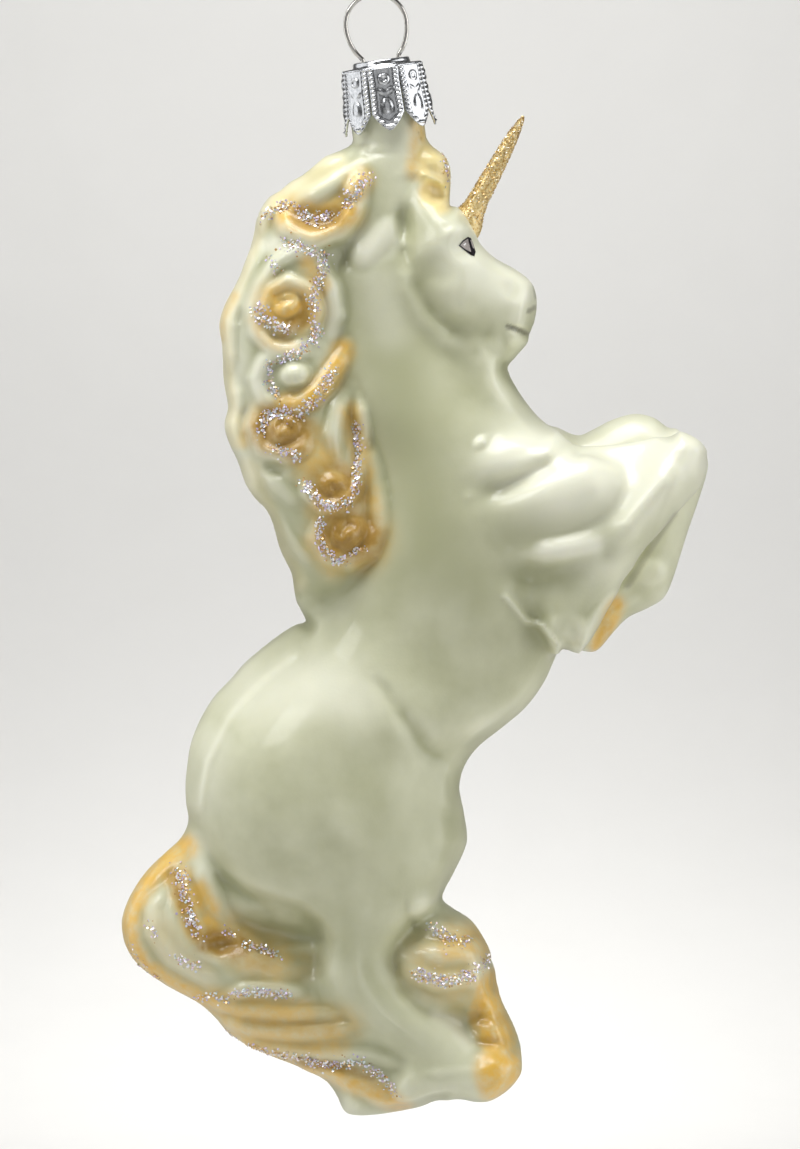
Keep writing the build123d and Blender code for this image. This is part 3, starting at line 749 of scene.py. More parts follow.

# %% Strokes of cream, white with painted highlights, painted shade, and lines of painted shade, in the same measures
CREAM_STROKES = [
    ([(428, 152), (440, 165), (442, 185), (440, 203)], 12, 1.0), ([(424, 150), (428, 200)], 8, 0.9),
    ([(335, 165), (305, 184), (282, 198)], 13, 0.4),
    ([(282, 196), (256, 232), (240, 272), (223, 320), (226, 380), (236, 440)], 10, 0.35),
    ([(250, 470), (272, 530), (294, 580)], 14, 0.25),
]
# Whiter lacquer along the locks, and painted highlights on the nose, the foreleg, the rump, the
# fetlock and the lobe under the ear.
WHITE_AND_HIGHLIGHT_STROKES = [
    ([(462, 252), (480, 266), (525, 292)], 30, 0.7),
    ([(530, 455), (565, 480), (640, 470)], 50, 0.9), ([(645, 450), (690, 456)], 30, 0.9),
    ([(215, 740), (206, 790)], 22, 0.35), ([(380, 285), (390, 330)], 22, 0.35),
    ([(545, 547), (592, 541)], 12, 1.0), ([(590, 550), (610, 560)], 30, 0.4),
    ([(430, 1040), (460, 1060)], 25, 0.15), ([(200, 845), (205, 870)], 12, 0.4),
    ([(300, 180), (262, 215), (245, 262), (226, 310), (225, 345)], 8, 0.5),
    ([(265, 246), (285, 243), (310, 252)], 9, 0.7),
    ([(240, 300), (235, 360), (240, 420), (252, 470)], 16, 0.4),
    ([(262, 300), (258, 330), (272, 348), (300, 350)], 7, 0.6), ([(265, 362), (260, 385)], 10, 0.5),
    ([(332, 290), (334, 330)], 8, 0.6), ([(160, 905), (170, 940), (195, 965)], 15, 0.25),
    ([(368, 250), (384, 238)], 18, 0.8), ([(255, 690), (300, 680), (350, 690)], 35, 0.6),
    ([(438, 1012), (455, 1022), (468, 1040)], 9, 0.5),
]
# Painted shade where the glass lies in shadow: mid neck, lower mane, under the upper arm, thighs,
# tail, the slit by the far cannon, and the brow.
PAINTED_SHADE_STROKES = [
    ([(420, 224), (446, 234)], 16, 0.6),
    ([(395, 360), (405, 400), (415, 460), (430, 540)], 40, 0.9),
    ([(430, 540), (470, 590)], 34, 0.7), ([(320, 470), (325, 570)], 40, 0.5),
    ([(250, 960), (320, 1000), (370, 1060)], 40, 0.25),
    ([(355, 925), (365, 980), (415, 1035)], 30, 0.3), ([(430, 800), (445, 850)], 30, 0.4),
    ([(390, 800), (400, 840)], 32, 0.4), ([(345, 915), (352, 945)], 20, 0.4),
    ([(672, 508), (642, 550), (620, 588)], 5, 0.8), ([(290, 515), (305, 580)], 34, 0.9),
    ([(500, 535), (555, 524), (608, 506)], 14, 0.7),
]
# Lines of painted shade in the mouth and nostril grooves, and in the slit between the forelegs.
SHADE_LINE_STROKES = [
    ([(507, 326), (517, 329), (528, 334)], 2.4, 0.9), ([(534, 285), (536, 297)], 2.4, 0.6),
    ([(528, 311), (534, 308)], 2.4, 0.7), ([(674, 514), (650, 550), (628, 586)], 4, 0.45),
]
STROKE_SETS = [  # the weight, its strokes, and how sharp their edges are
    ("amber", AMBER_STROKES, 3), ("amber", HOOF_STROKES, 6), ("deep", DEEP_AMBER_AND_SHADE_STROKES, 4),
    ("cream", CREAM_STROKES, 4), ("white", WHITE_AND_HIGHLIGHT_STROKES, 2.5), ("line", SHADE_LINE_STROKES, 4),
    ("thin", PAINTED_SHADE_STROKES, 2),
]
print("colour strokes:", sum(len(strokes) for _, strokes, _ in STROKE_SETS))

# %% Weigh the colours at every point of the glass
HOLLOW_LIMIT = 4  # mm
HOLLOW_REACH = 5  # cells to each side
HOLLOW_DEPTH = 0.5  # mm that count as fully hollow


def stroke_weight(strokes, sharpness):
    """How strongly each point of the glass lies under strokes: airbrushed colours, painted shade
    and painted highlights.
    """
    total = np.zeros(len(points_mm))
    for line, half_width, strength in strokes:
        far = to_line(points_mm[:, 0], points_mm[:, 2], from_photo(line))
        cover = np.exp(-(far / (half_width / PIXELS_PER_MM)) ** sharpness)
        total = np.maximum(total, strength * cover)
    return np.clip(total, 0, 1)


averaged = box_blur(np.clip(field, -HOLLOW_LIMIT, HOLLOW_LIMIT), HOLLOW_REACH)
hollow = sample(averaged, points)
weights = {"hollow": np.clip(-hollow / HOLLOW_DEPTH, -1, 1)}
for name, strokes, sharpness in STROKE_SETS:
    weights[name] = np.maximum(weights.get(name, 0), stroke_weight(strokes, sharpness))
for name, values in weights.items():
    kept = glass_figure.data.attributes.new(name, "FLOAT", "POINT")
    kept.data.foreach_set("value", values.astype(np.float32))
print("hollow runs from", round(float(hollow.min()), 2), "to", round(float(hollow.max()), 2), "mm")

# %% [markdown]
# ## Helpers for the materials
# Colours are written as the hex values a colour picker shows, and one function makes them
# linear, which is what the shader works in. A second function adds a node, sets it and links it.

# %% Colour and node helpers
def linear(code):
    """A hex colour, such as E9B873, as linear red, green, blue and alpha."""
    parts = [int(code[i:i + 2], 16) / 255 for i in (0, 2, 4)]
    return (*(p / 12.92 if p <= 0.04045 else ((p + 0.055) / 1.055) ** 2.4 for p in parts), 1.0)


def add(material, kind, inputs=None, **settings):
    """Adds a node, sets its properties, and gives each input a value or a link."""
    made = material.node_tree.nodes.new(kind)
    for key, value in settings.items():
        setattr(made, key, value)
    for key, value in (inputs or {}).items():
        if isinstance(value, bpy.types.NodeSocket):
            material.node_tree.links.new(value, made.inputs[key])
        else:
            made.inputs[key].default_value = value
    return made


def start_material(name):
    """A material without nodes."""
    material = bpy.data.materials.new(name)
    material.use_nodes = True
    material.node_tree.nodes.clear()
    return material


print("E9B873 in linear light:", [round(p, 3) for p in linear("E9B873")])

# %% [markdown]
# ## Pearl lacquer on blown glass
# The glass was frosted by a sprayed pearl lacquer: satin, pale green-ivory, with a little light
# passing through. It is painted lighter on its raised parts and darker in its hollows, as shade
# falls there. Amber is airbrushed over it and pools in the hollows, where painted shade deepens
# it. The material lays one colour over the other in the order of the spraying, each by its
# weight, and puts the painted light and shade in among them.

# %% Patterns in the lacquer
MOTTLE_MM = 6.0
FROST_MM = 0.35
GRAIN_MM = 1.6

pearl = start_material("pearl_lacquered_blown_glass")
place = add(pearl, "ShaderNodeTexCoord").outputs["Object"]
weight = {name: add(pearl, "ShaderNodeAttribute", attribute_name=name).outputs["Fac"]
          for name in weights}
mottle, frost, grain = (
    add(pearl, "ShaderNodeTexNoise", {"Vector": place, "Scale": 1 / (size * MM), "Detail": detail})
    .outputs["Fac"] for size, detail in ((MOTTLE_MM, 3.0), (FROST_MM, 2.0), (GRAIN_MM, 4.0)))
readings = {  # a value, the range it is read in, and the range it is carried to
    # Painted light on the raised parts and painted shade in the hollows.
    "relief_light_and_shade": (weight["hollow"], -0.5, 0.6, 0.6, 0.0),
    "cloud": (mottle, 0.3, 0.7, -0.15, 0.15),
    # Painted shade in the hollows, with lacquer pooled there.
    "pool_and_shade": (weight["hollow"], 0.3, 1.0, 0.0, 0.25),
    # Painted highlight on the ridges.
    "crest": (weight["hollow"], -0.2, -0.9, 0.0, 0.3),
    # Amber pooled in the hollows and darkened there by painted shade.
    "sink": (weight["hollow"], 0.0, 0.6, 0.0, 0.35),
    "spatter": (grain, 0.3, 0.6, 0.55, 1.0),
    "satin": (mottle, 0.3, 0.7, 0.34, 0.46),
}
span = {name: add(pearl, "ShaderNodeMapRange", dict(enumerate(values))).outputs[0]
        for name, values in readings.items()}
print("pearl has", len(span), "spans over 3 patterns")

# %% Pearl lacquered glass
PEARL_LIGHT = "EAEBD0"
PEARL_SHADE = "B2B48E"
# White of the whiter lacquer and of the painted highlights.
PEARL_WHITE_AND_HIGHLIGHT = "F8F8E6"
# Olive of the painted shade and the pooled lacquer in the hollows.
PEARL_POOL_AND_SHADE = "96976F"
PEARL_SHEEN = "F6F4E0"
# Grey of the lines of painted shade.
SHADE_LINE_GREY = "7F7D68"
AMBER_LIGHT = "E9BC52"
# Deep amber, also used as painted shade on the amber.
AMBER_DEEP = "A68030"
EAR_CREAM = "F8E4A2"
FROST_DEPTH = 0.1 * MM
GLOW_DEPTH = 2.0 * MM

# Painted light on raised parts and painted shade in hollows, with a random mottle of the lacquer
# added.
light_shade_and_mottle = add(pearl, "ShaderNodeMath", {0: span["relief_light_and_shade"], 1: span["cloud"]}, operation="ADD")
# Some layers are painted light and shade: on raised parts, ridges, hollows, shadowed places and
# grooves.
layers = [  # what the colour covers, how much of that, and the colour
    (light_shade_and_mottle.outputs[0], 1.0, PEARL_LIGHT), (weight["thin"], 1.0, PEARL_SHADE),
    (span["pool_and_shade"], 1.0, PEARL_POOL_AND_SHADE), (weight["white"], 0.85, PEARL_WHITE_AND_HIGHLIGHT),
    (span["crest"], 1.0, PEARL_WHITE_AND_HIGHLIGHT), (weight["amber"], span["spatter"], AMBER_LIGHT),
    (weight["amber"], span["sink"], AMBER_DEEP), (weight["deep"], span["spatter"], AMBER_DEEP),
    (weight["cream"], 0.95, EAR_CREAM), (weight["line"], 1.0, SHADE_LINE_GREY),
]
body = linear(PEARL_SHADE)
for cover, amount, colour in layers:
    share = add(pearl, "ShaderNodeMath", {0: cover, 1: amount}, operation="MULTIPLY").outputs[0]
    colours = {0: share, 6: body, 7: linear(colour)}
    body = add(pearl, "ShaderNodeMix", colours, data_type="RGBA").outputs[2]
frosted = add(pearl, "ShaderNodeBump", {"Height": frost, "Strength": 0.12, "Distance": FROST_DEPTH})
# Satin spreads the window into a wide soft light, the coat keeps a small bright core in it, and the
# sheen pales the rims, as powdered pearl does. Light that sinks in softens the shadows.
shader = add(pearl, "ShaderNodeBsdfPrincipled", {
    "Base Color": body, "Roughness": span["satin"], "Normal": frosted.outputs["Normal"], "IOR": 1.5,
    "Subsurface Weight": 0.25, "Subsurface Radius": (1.0, 0.9, 0.6), "Subsurface Scale": GLOW_DEPTH,
    "Coat Weight": 0.4, "Coat Roughness": 0.12, "Sheen Weight": 0.35, "Sheen Roughness": 0.45,
    "Sheen Tint": linear(PEARL_SHEEN),
})
add(pearl, "ShaderNodeOutputMaterial", {"Surface": shader.outputs[0]})
glass_figure.data.materials.append(pearl)
print("pearl has", len(pearl.node_tree.nodes), "nodes")

# %% [markdown]
# ## Metals
# The cap is stamped from silvered tinplate, and the hanger is nickel-plated spring wire, drawn
# through a die. Both waver a little in tone and gloss, so one function makes a material in two
# tones.

# %% Silvered tinplate and spring wire
ROLL_MM = 0.4
DRAW_MM = 0.12
METAL_SPAN = (0.35, 0.65)  # of the pattern, from one tone to the other
GLOSS_SPAN = (0.3, 0.7)  # of the pattern, from one gloss to the other


def two_tone(name, pattern_mm, detail, tone_span, tones, finish):
    """A material that wavers between two tones; a pair in its finish wavers with them."""
    made = start_material(name)
    place = add(made, "ShaderNodeTexCoord").outputs["Object"]
    pattern = {"Vector": place, "Scale": 1 / (pattern_mm * MM), "Detail": detail}
    patches = add(made, "ShaderNodeTexNoise", pattern).outputs["Fac"]
    tone = add(made, "ShaderNodeMapRange", dict(enumerate((patches, *tone_span)))).outputs[0]
    colours = {0: tone, 6: linear(tones[0]), 7: linear(tones[1])}
    inputs = {"Base Color": add(made, "ShaderNodeMix", colours, data_type="RGBA").outputs[2]}
    for key, value in finish.items():
        if isinstance(value, tuple):
            reads = dict(enumerate((patches, *GLOSS_SPAN, *value)))
            value = add(made, "ShaderNodeMapRange", reads).outputs[0]
        inputs[key] = value
    shader = add(made, "ShaderNodeBsdfPrincipled", inputs)
    add(made, "ShaderNodeOutputMaterial", {"Surface": shader.outputs[0]})
    return made


# Marks of the rolls blur the reflections in short patches: bright, but no mirror.
silver = two_tone("silvered_stamped_tinplate", ROLL_MM, 3.0, METAL_SPAN, ("C9CCD0", "E9EBEE"),
                  {"Metallic": 1.0, "Roughness": (0.16, 0.3)})
# A die leaves the wire smoother, so it flashes white and dark. Its marks are drawn coarser than the
# real ones, which are finer than a pixel.
steel = two_tone("nickel_plated_drawn_spring_wire", DRAW_MM, 2.0, METAL_SPAN, ("D6D3CD", "EEEBE5"),
                 {"Metallic": 1.0, "Roughness": (0.08, 0.16)})
print("steel has", len(steel.node_tree.nodes), "nodes")

# %% [markdown]
# ## Stamped cap
# The cap is one thin disc, stamped into a cup and cut into eight pointed petals with beaded
# edges and a pressed ornament. A bump map would leave the edges smooth, so the pressing is real:
# each petal is a fine net whose points are pushed out by a height in millimetres. A Solidify
# modifier gives the sheet its thickness.

# %% What the stamp presses into a petal, in mm from the cap's rim
BEAD_PITCH = 0.6
BEAD_RISE, BEAD_INSET, BEAD_WIDTH = 0.28, 0.45, 0.24
BORDER_RISE, BORDER_INSET, BORDER_WIDTH = 0.06, 0.98, 0.1
RING_RISE, RING_Z, RING_RADIUS, RING_WIDTH = 0.16, -1.5, 0.5, 0.17
LEAF_RISE, LEAF_X, LEAF_Z, LEAF_LENGTH, LEAF_WIDTH = 0.17, 0.55, -3.1, 0.6, 0.28
LEAF_COS, LEAF_SIN = 0.8, 0.6
DROP_RISE, DROP_Z, DROP_WIDTH, DROP_FLARE, DROP_WAIST = 0.2, -5.0, 0.62, 0.18, -4.8


def ridge(far, width):
    """A round ridge: 1 on its line, fading over its width."""
    return np.exp(-(far / width) ** 2)


def pressed_height(across, z, from_edge):
    """How far the stamp pushes the sheet out, at a place on one petal."""
    beads = 0.5 + 0.5 * np.cos(2 * np.pi * z / BEAD_PITCH)
    height = BEAD_RISE * beads * ridge(from_edge - BEAD_INSET, BEAD_WIDTH)
    height += BORDER_RISE * ridge(from_edge - BORDER_INSET, BORDER_WIDTH)
    height += RING_RISE * ridge(np.hypot(across, z - RING_Z) - RING_RADIUS, RING_WIDTH)
    for side in (-1, 1):
        leaf_x, leaf_z = across - side * LEAF_X, z - LEAF_Z
        lengthwise = leaf_x * LEAF_COS + side * leaf_z * LEAF_SIN
        crosswise = leaf_z * LEAF_COS - side * leaf_x * LEAF_SIN
        height += LEAF_RISE * ridge(lengthwise, LEAF_LENGTH) * ridge(crosswise, LEAF_WIDTH)
    width = DROP_WIDTH + DROP_FLARE * np.clip(DROP_WAIST - z, -1, 1)
    return height + DROP_RISE * np.exp(-np.hypot(across / width, z - DROP_Z) ** 4)


print("highest bead:", BEAD_RISE, "mm")

# %% One petal, in mm from the cap's rim
CAP_SHEET = 0.25
CAP_TIP = -8.4
CAP_TOP_RADIUS = 5.45
CAP_TIP_RADIUS = 6.1
CAP_FLARE = 1.3  # power of the widening
PETAL_COUNT = 8
PETAL_POINT = 2.4
POINT_CURVE = 1.5  # power of the pointed foot
POINT_SLANT = 0.8  # distance to the foot per mm of height
SLIT_TOP = -0.7
HALF_SLIT = 0.1
PETAL_COLUMNS = 41
PETAL_ROWS = 66


def cap_petal(turn):
    """Points and quads of one petal, in the cap's own axes."""
    u = np.linspace(-1, 1, PETAL_COLUMNS)[None, :]
    v = np.linspace(0, 1, PETAL_ROWS)[:, None]
    foot = CAP_TIP + PETAL_POINT * np.abs(u) ** POINT_CURVE
    z = v * foot
    radius = CAP_TOP_RADIUS + (CAP_TIP_RADIUS - CAP_TOP_RADIUS) * (z / CAP_TIP) ** CAP_FLARE
    parted = np.clip(SLIT_TOP - z, 0, 1)
    half_angle = math.pi / PETAL_COUNT - parted * HALF_SLIT / CAP_TIP_RADIUS
    half_width = half_angle * radius
    from_edge = np.minimum(half_width * (1 - np.abs(u)), (z - foot) * POINT_SLANT)
    radius = radius + pressed_height(u * half_width, z, from_edge)
    angle = turn + u * half_angle
    net = np.stack([radius * np.cos(angle), radius * np.sin(angle), z + 0 * u], 2).reshape(-1, 3)
    i, j = np.meshgrid(np.arange(PETAL_ROWS - 1), np.arange(PETAL_COLUMNS - 1), indexing="ij")
    corner = (i * PETAL_COLUMNS + j).reshape(-1)
    below = corner + PETAL_COLUMNS
    return net, np.stack([corner, below, below + 1, corner + 1], 1)


print("each petal has", PETAL_COLUMNS * PETAL_ROWS, "points")

# %% Helpers for turned surfaces
BOSS = [(5.45, -0.02), (5.42, 0.12), (5.32, 0.24), (5.15, 0.3), (4.2, 0.3), (4.0, 0.33),
        (3.86, 0.45), (3.8, 0.7), (3.76, 0.95), (3.66, 1.07), (3.5, 1.1)]

across_neck = np.array([neck_up[2], 0.0, -neck_up[0]])
cap_axes = np.stack([across_neck, [0.0, 1.0, 0.0], neck_up])


def circle(radius, z, steps, x=0.0):
    """Points on a circle about the cap's axis, or beside it."""
    turn = np.arange(steps) * 2 * np.pi / steps
    return np.stack([x + radius * np.cos(turn), radius * np.sin(turn), np.full(steps, z)], 1)


def rolled(rings):
    """Points and quads of a turned surface, from its rings, the outermost first."""
    steps = len(rings[0])
    corner = np.arange(steps)
    after = (corner + 1) % steps
    band = np.stack([corner, after, after + steps, corner + steps], 1)
    return np.vstack(rings), np.vstack([band + steps * i for i in range(len(rings) - 1)])


def built_object(name, build):
    """An object from a bmesh, with its faces turned outwards."""
    bmesh.ops.recalc_face_normals(build, faces=build.faces)
    mesh = bpy.data.meshes.new(name)
    build.to_mesh(mesh)
    build.free()
    return show(name, mesh)


print("the cap's axis:", cap_axes[2].round(3))

# %% The whole cap, in mm: petals, plate with its boss, and two wire holes
HOLE_OFFSET = 2.4
HOLE_RADIUS = 0.38
HOLE_STEPS = 24
RING_STEPS = 96
WELD = 0.02

cap_build = bmesh.new()


def put(points_in_cap, faces):
    """Adds points and faces, given in the cap's axes, to the cap that is being built."""
    made = [cap_build.verts.new((np.array(p) @ cap_axes + rim_centre) * MM) for p in points_in_cap]
    for face in faces:
        cap_build.faces.new([made[i] for i in face])
    return made


for petal in range(PETAL_COUNT):
    put(*cap_petal(petal * 2 * math.pi / PETAL_COUNT))
put(*rolled([circle(radius, z, RING_STEPS) for radius, z in BOSS]))
boss_radius, boss_top = BOSS[-1]
rim_edges = []
for radius, x, steps in ((boss_radius, 0.0, RING_STEPS), (HOLE_RADIUS, HOLE_OFFSET, HOLE_STEPS),
                         (HOLE_RADIUS, -HOLE_OFFSET, HOLE_STEPS)):
    ring = put(circle(radius, boss_top, steps, x), [])
    rim_edges += [cap_build.edges.new((a, b)) for a, b in zip(ring, ring[1:] + ring[:1])]
bmesh.ops.triangle_fill(cap_build, edges=rim_edges, use_beauty=True)
bmesh.ops.remove_doubles(cap_build, verts=cap_build.verts, dist=WELD * MM)
stamped_cap = built_object("stamped_cap", cap_build)
sheet = stamped_cap.modifiers.new("sheet", "SOLIDIFY")
sheet.thickness = CAP_SHEET * MM
sheet.offset = -1.0
stamped_cap.data.materials.append(silver)
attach(stamped_cap, "cap")
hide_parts("cap")
print("stamped_cap:", len(stamped_cap.data.polygons), "faces")

# %% [markdown]
# ## Hanger
# One piece of spring wire is bent round a mandrel and its two ends are pushed through the cap.
# The loop runs down to the holes as a long oval, and only there do the legs turn along the neck,
# so a tube along a drawn line shows it best.

# %% Round wire along a line, in mm from the cap's rim
WIRE_RADIUS = 0.3
WIRE_STEPS = 16
LOOP_RADIUS = 4.05
LOOP_DROP = 5.4
LOOP_TURNS = np.radians(np.arange(90, -48, -3))
WIRE_LEG = [(2.61, 1.71), (2.51, 1.58), (2.44, 1.46), (2.405, 1.34), (2.4, 1.2), (2.4, -4.6),
            (2.45, -5.3), (2.57, -6.0), (3.62, -14.9)]

drop = np.where(LOOP_TURNS > 0, LOOP_RADIUS, LOOP_DROP) * np.sin(LOOP_TURNS)
half_loop = np.stack([LOOP_RADIUS * np.cos(LOOP_TURNS), RIM_BELOW_LOOP + drop], 1)
half_wire = np.vstack([half_loop, WIRE_LEG])
wire_line = np.vstack([half_wire[:0:-1] * (-1, 1), half_wire])
runs = np.gradient(wire_line, axis=0)
runs /= np.linalg.norm(runs, axis=1)[:, None]
bow, across, _ = circle(WIRE_RADIUS, 0.0, WIRE_STEPS).T
wire_points, wire_quads = rolled([np.stack([x + bow * dz, across, z - bow * dx], 1)
                                  for (x, z), (dx, dz) in zip(wire_line, runs)])
spring_hanger = mesh_object("spring_hanger", wire_points @ cap_axes, wire_quads, at=rim_centre)
spring_hanger.data.materials.append(steel)
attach(spring_hanger, "hanger")
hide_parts("hanger_wire")
print("spring_hanger:", len(wire_quads), "quads")

# %% [markdown]
# ## Loose glitter
# Glitter is cut film: small, flat, six-sided flakes, glued along the locks with a brush. Noise
# in a material can't flash as tilted flakes do, so each flake is a real hexagon. Rays cast from
# the side find the glass under a stroke, and each flake gets the slope there, a random tilt and
# a colour of its own. They are drawn a little larger than real ones, which would be lost between
# the pixels.

# %% A brush that lays flakes on the glass
FLAKE_SIZE = (0.1, 0.2)  # mm from the middle to a corner
FLAKE_TILT = 0.5
FLAKE_LIFT = 0.6  # share of its size
RAY_START = 40.0  # mm to the side
GLITTER_SEED = 7

random = np.random.default_rng(GLITTER_SEED)
glass_tree = BVHTree.FromPolygons([v.co for v in glass_figure.data.vertices],
                                  [tuple(p.vertices) for p in glass_figure.data.polygons])


def on_glass(x, z, side):
    """The point of the glass seen from one side at X and Z from the foot, and its normal."""
    start = Vector((neck_foot + (x, side * RAY_START, z)) * MM)
    return glass_tree.ray_cast(start, Vector((0, -side, 0)))[:2]


def along(points, count):
    """Random places on a line, and its length in mm."""
    line = from_photo(points)
    run = np.concatenate([[0], np.cumsum(np.linalg.norm(np.diff(line, axis=0), axis=1))])
    at = random.uniform(0, run[-1], count)
    return np.stack([np.interp(at, run, line[:, 0]), np.interp(at, run, line[:, 1])], 1), run[-1]


def flake(centre, normal, size):
    """Six corners of a flake that lies on the glass with a random tilt."""
    lean = Vector(random.normal(0, FLAKE_TILT, 3))
    facing = (normal + lean - lean.dot(normal) * normal).normalized()
    first = facing.orthogonal().normalized()
    second = facing.cross(first)
    turn = random.uniform(0, math.pi)
    middle = centre + normal * FLAKE_LIFT * size
    corners = [turn + k * math.pi / 3 for k in range(6)]
    return [middle + size * (math.cos(a) * first + math.sin(a) * second) for a in corners]


def flake_object(name, flakes, colours):
    """One object from many flakes, each with its own colour."""
    corners = np.array([list(corner) for six in flakes for corner in six]) / MM
    made = mesh_object(name, corners, np.arange(len(corners)).reshape(-1, 6), at=np.zeros(3))
    tints = np.repeat(np.array(colours, np.float32), 6, axis=0)
    kept = made.data.attributes.new("flake", "FLOAT_COLOR", "POINT")
    kept.data.foreach_set("color", tints.reshape(-1))
    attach(made, "figure")
    return made


print("rays can meet", len(glass_figure.data.polygons), "faces")

# %% Clear glitter along the locks: photo pixels, half width in pixels, flakes per mm
GLITTER_RUNS = [
    ([(263, 217), (280, 207), (300, 206)], 5, 7), ([(300, 212), (318, 222), (334, 214)], 6, 9),
    ([(345, 206), (356, 192), (366, 178)], 7, 10), ([(285, 241), (300, 247), (325, 254)], 6, 8),
    ([(270, 258), (280, 270)], 5, 5), ([(326, 252), (322, 275), (312, 296), (316, 312)], 5, 8),
    ([(314, 318), (318, 335), (302, 350), (280, 358)], 5, 9),
    ([(256, 305), (270, 322), (290, 328)], 6, 9), ([(270, 358), (270, 380), (278, 396)], 4, 6),
    ([(334, 368), (322, 390), (306, 408)], 6, 9),
    ([(306, 412), (285, 410), (266, 414), (262, 432)], 6, 9),
    ([(270, 446), (285, 452), (303, 455)], 5, 6),
    ([(357, 420), (358, 450), (357, 480), (350, 498)], 4, 8),
    ([(350, 500), (335, 506), (320, 500), (308, 485)], 5, 9), ([(303, 480), (312, 488)], 5, 8),
    ([(320, 515), (320, 540), (333, 557), (346, 559)], 4, 8), ([(352, 551), (366, 545)], 3, 5),
    ([(178, 868), (186, 885), (190, 910), (198, 932)], 7, 9), ([(150, 920), (158, 935)], 6, 3),
    ([(175, 955), (200, 962)], 5, 6), ([(128, 945), (140, 962), (160, 978)], 4, 3),
    ([(222, 930), (235, 930)], 5, 4), ([(245, 940), (265, 947), (280, 953)], 4, 7),
    ([(232, 990), (260, 988), (292, 991)], 4, 11), ([(195, 996), (215, 995), (230, 996)], 4, 5),
    ([(224, 1030), (240, 1044), (280, 1053), (320, 1056)], 4, 7),
    ([(310, 1062), (335, 1061), (365, 1058)], 5, 8),
    ([(365, 1060), (385, 1076), (396, 1090)], 4, 5), ([(430, 922), (445, 935), (472, 938)], 5, 7),
    ([(414, 966), (435, 974), (460, 975), (492, 955)], 5, 10),
    ([(443, 152), (447, 168), (448, 186)], 3, 6),
]
CLEAR_FILM = ["FFFFFF", "FBF7FF", "EDE4FB", "DDD0F4", "F9E3F0", "E4F5F0", "FFF5E4", "EFF6FF"]
AMBER_FILM = ["F0CC94", "E2B574", "F6DEB2", "DDB070"]
AMBER_SHARE = 0.2  # of all the flakes
FLAKE_DENSITY = 2.8  # times the listed flakes per mm
BRUSH_WIDTHS = 1.6  # spreads of the scatter in a half width
EDGE_ON = 0.12  # glass that turns farther away from the side gets no flake


def lay_flakes(runs, side):
    """Flakes and colours of all the runs, as laid on one side of the glass."""
    flakes, colours = [], []
    for line, half_width, density in runs:
        count = int(along(line, 1)[1] * density * FLAKE_DENSITY)
        scatter = half_width / PIXELS_PER_MM / BRUSH_WIDTHS
        for x, z in along(line, count)[0] + random.normal(0, scatter, (count, 2)):
            place, normal = on_glass(x, z, side)
            if place is not None and abs(normal.y) > EDGE_ON:
                flakes.append(flake(place, normal, random.uniform(*FLAKE_SIZE) * MM))
                film = AMBER_FILM if random.random() < AMBER_SHARE else CLEAR_FILM
                colours.append(linear(film[random.integers(len(film))]))
    return flakes, colours


near_flakes, near_colours = lay_flakes(GLITTER_RUNS, -1)
far_flakes, far_colours = lay_flakes(GLITTER_RUNS, 1)
glitter = flake_object("clear_glitter", near_flakes + far_flakes, near_colours + far_colours)
print("clear_glitter:", len(near_flakes) + len(far_flakes), "flakes")

# %% Cut film
# Polyester film with a breath of metal on it: most flakes are pale, and those that face a light
# flash.
film = start_material("iridescent_cut_film")
tint = add(film, "ShaderNodeAttribute", attribute_name="flake").outputs["Color"]
shader = add(film, "ShaderNodeBsdfPrincipled", {
    "Base Color": tint, "Metallic": 0.35, "Roughness": 0.2, "IOR": 1.6,
    "Coat Weight": 0.5, "Coat Roughness": 0.05,
})
add(film, "ShaderNodeOutputMaterial", {"Surface": shader.outputs[0]})
glitter.data.materials.append(film)
print("film has", len(film.node_tree.nodes), "nodes")

# %% [markdown]
# ## Horn
# A drawn glass rod, flared where it is melted to the forehead, dipped in glue and rolled in fine
# gold glitter. The rod is turned from a profile and roughened by grains, and flakes stand on it.

# %% The rod and its grains: height and radius in mm
HORN_PROFILE = [(-2.5, 2.2), (-1.0, 2.35), (0.0, 2.2), (0.8, 1.85), (1.8, 1.5), (3.0, 1.33),
                (6.0, 1.2), (10.0, 0.98), (12.5, 0.76), (14.0, 0.52), (15.0, 0.3), (15.7, 0.04)]
HORN_SEAT = np.array([10.0, 0.0, -10.3])
HORN_PITCH = math.radians(61.7)
HORN_ROWS = 150
HORN_STEPS = 64
GRAIN_SIZE = 0.24
GRAIN_RISE = 0.07
GRAIN_LEVEL = 0.6

horn_along = np.array([math.cos(HORN_PITCH), 0.0, math.sin(HORN_PITCH)])
horn_axes = np.stack([[0.0, 1.0, 0.0], np.cross(horn_along, [0.0, 1.0, 0.0]), horn_along])
heights = np.linspace(HORN_PROFILE[0][0], HORN_PROFILE[-1][0], HORN_ROWS)
radii = np.interp(heights, *np.array(HORN_PROFILE).T)
horn_net, horn_quads = rolled([circle(radius, z, HORN_STEPS) for radius, z in zip(radii, heights)])
outward = horn_net * (1, 1, 0)
outward /= np.linalg.norm(outward, axis=1)[:, None]
to_grain = np.array([noise.voronoi(Vector(p) / GRAIN_SIZE)[0][0] for p in horn_net])
horn_net = horn_net + outward * (GRAIN_RISE * (GRAIN_LEVEL - to_grain))[:, None]
gold_horn = mesh_object("gold_horn", horn_net @ horn_axes + HORN_SEAT, horn_quads)
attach(gold_horn, "figure")
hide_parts("horn")
print("gold_horn:", len(horn_quads), "quads")

# %% Gold glitter for the horn
GOLD_FILM = ["F0D692", "DDB769", "F8E9BC", "E6C67C", "CDA65C", "FFF6DC"]
HORN_FLAKES = 2400
HORN_FLAKE_SIZE = (0.06, 0.13)
BARE_ROWS = 22  # at its foot

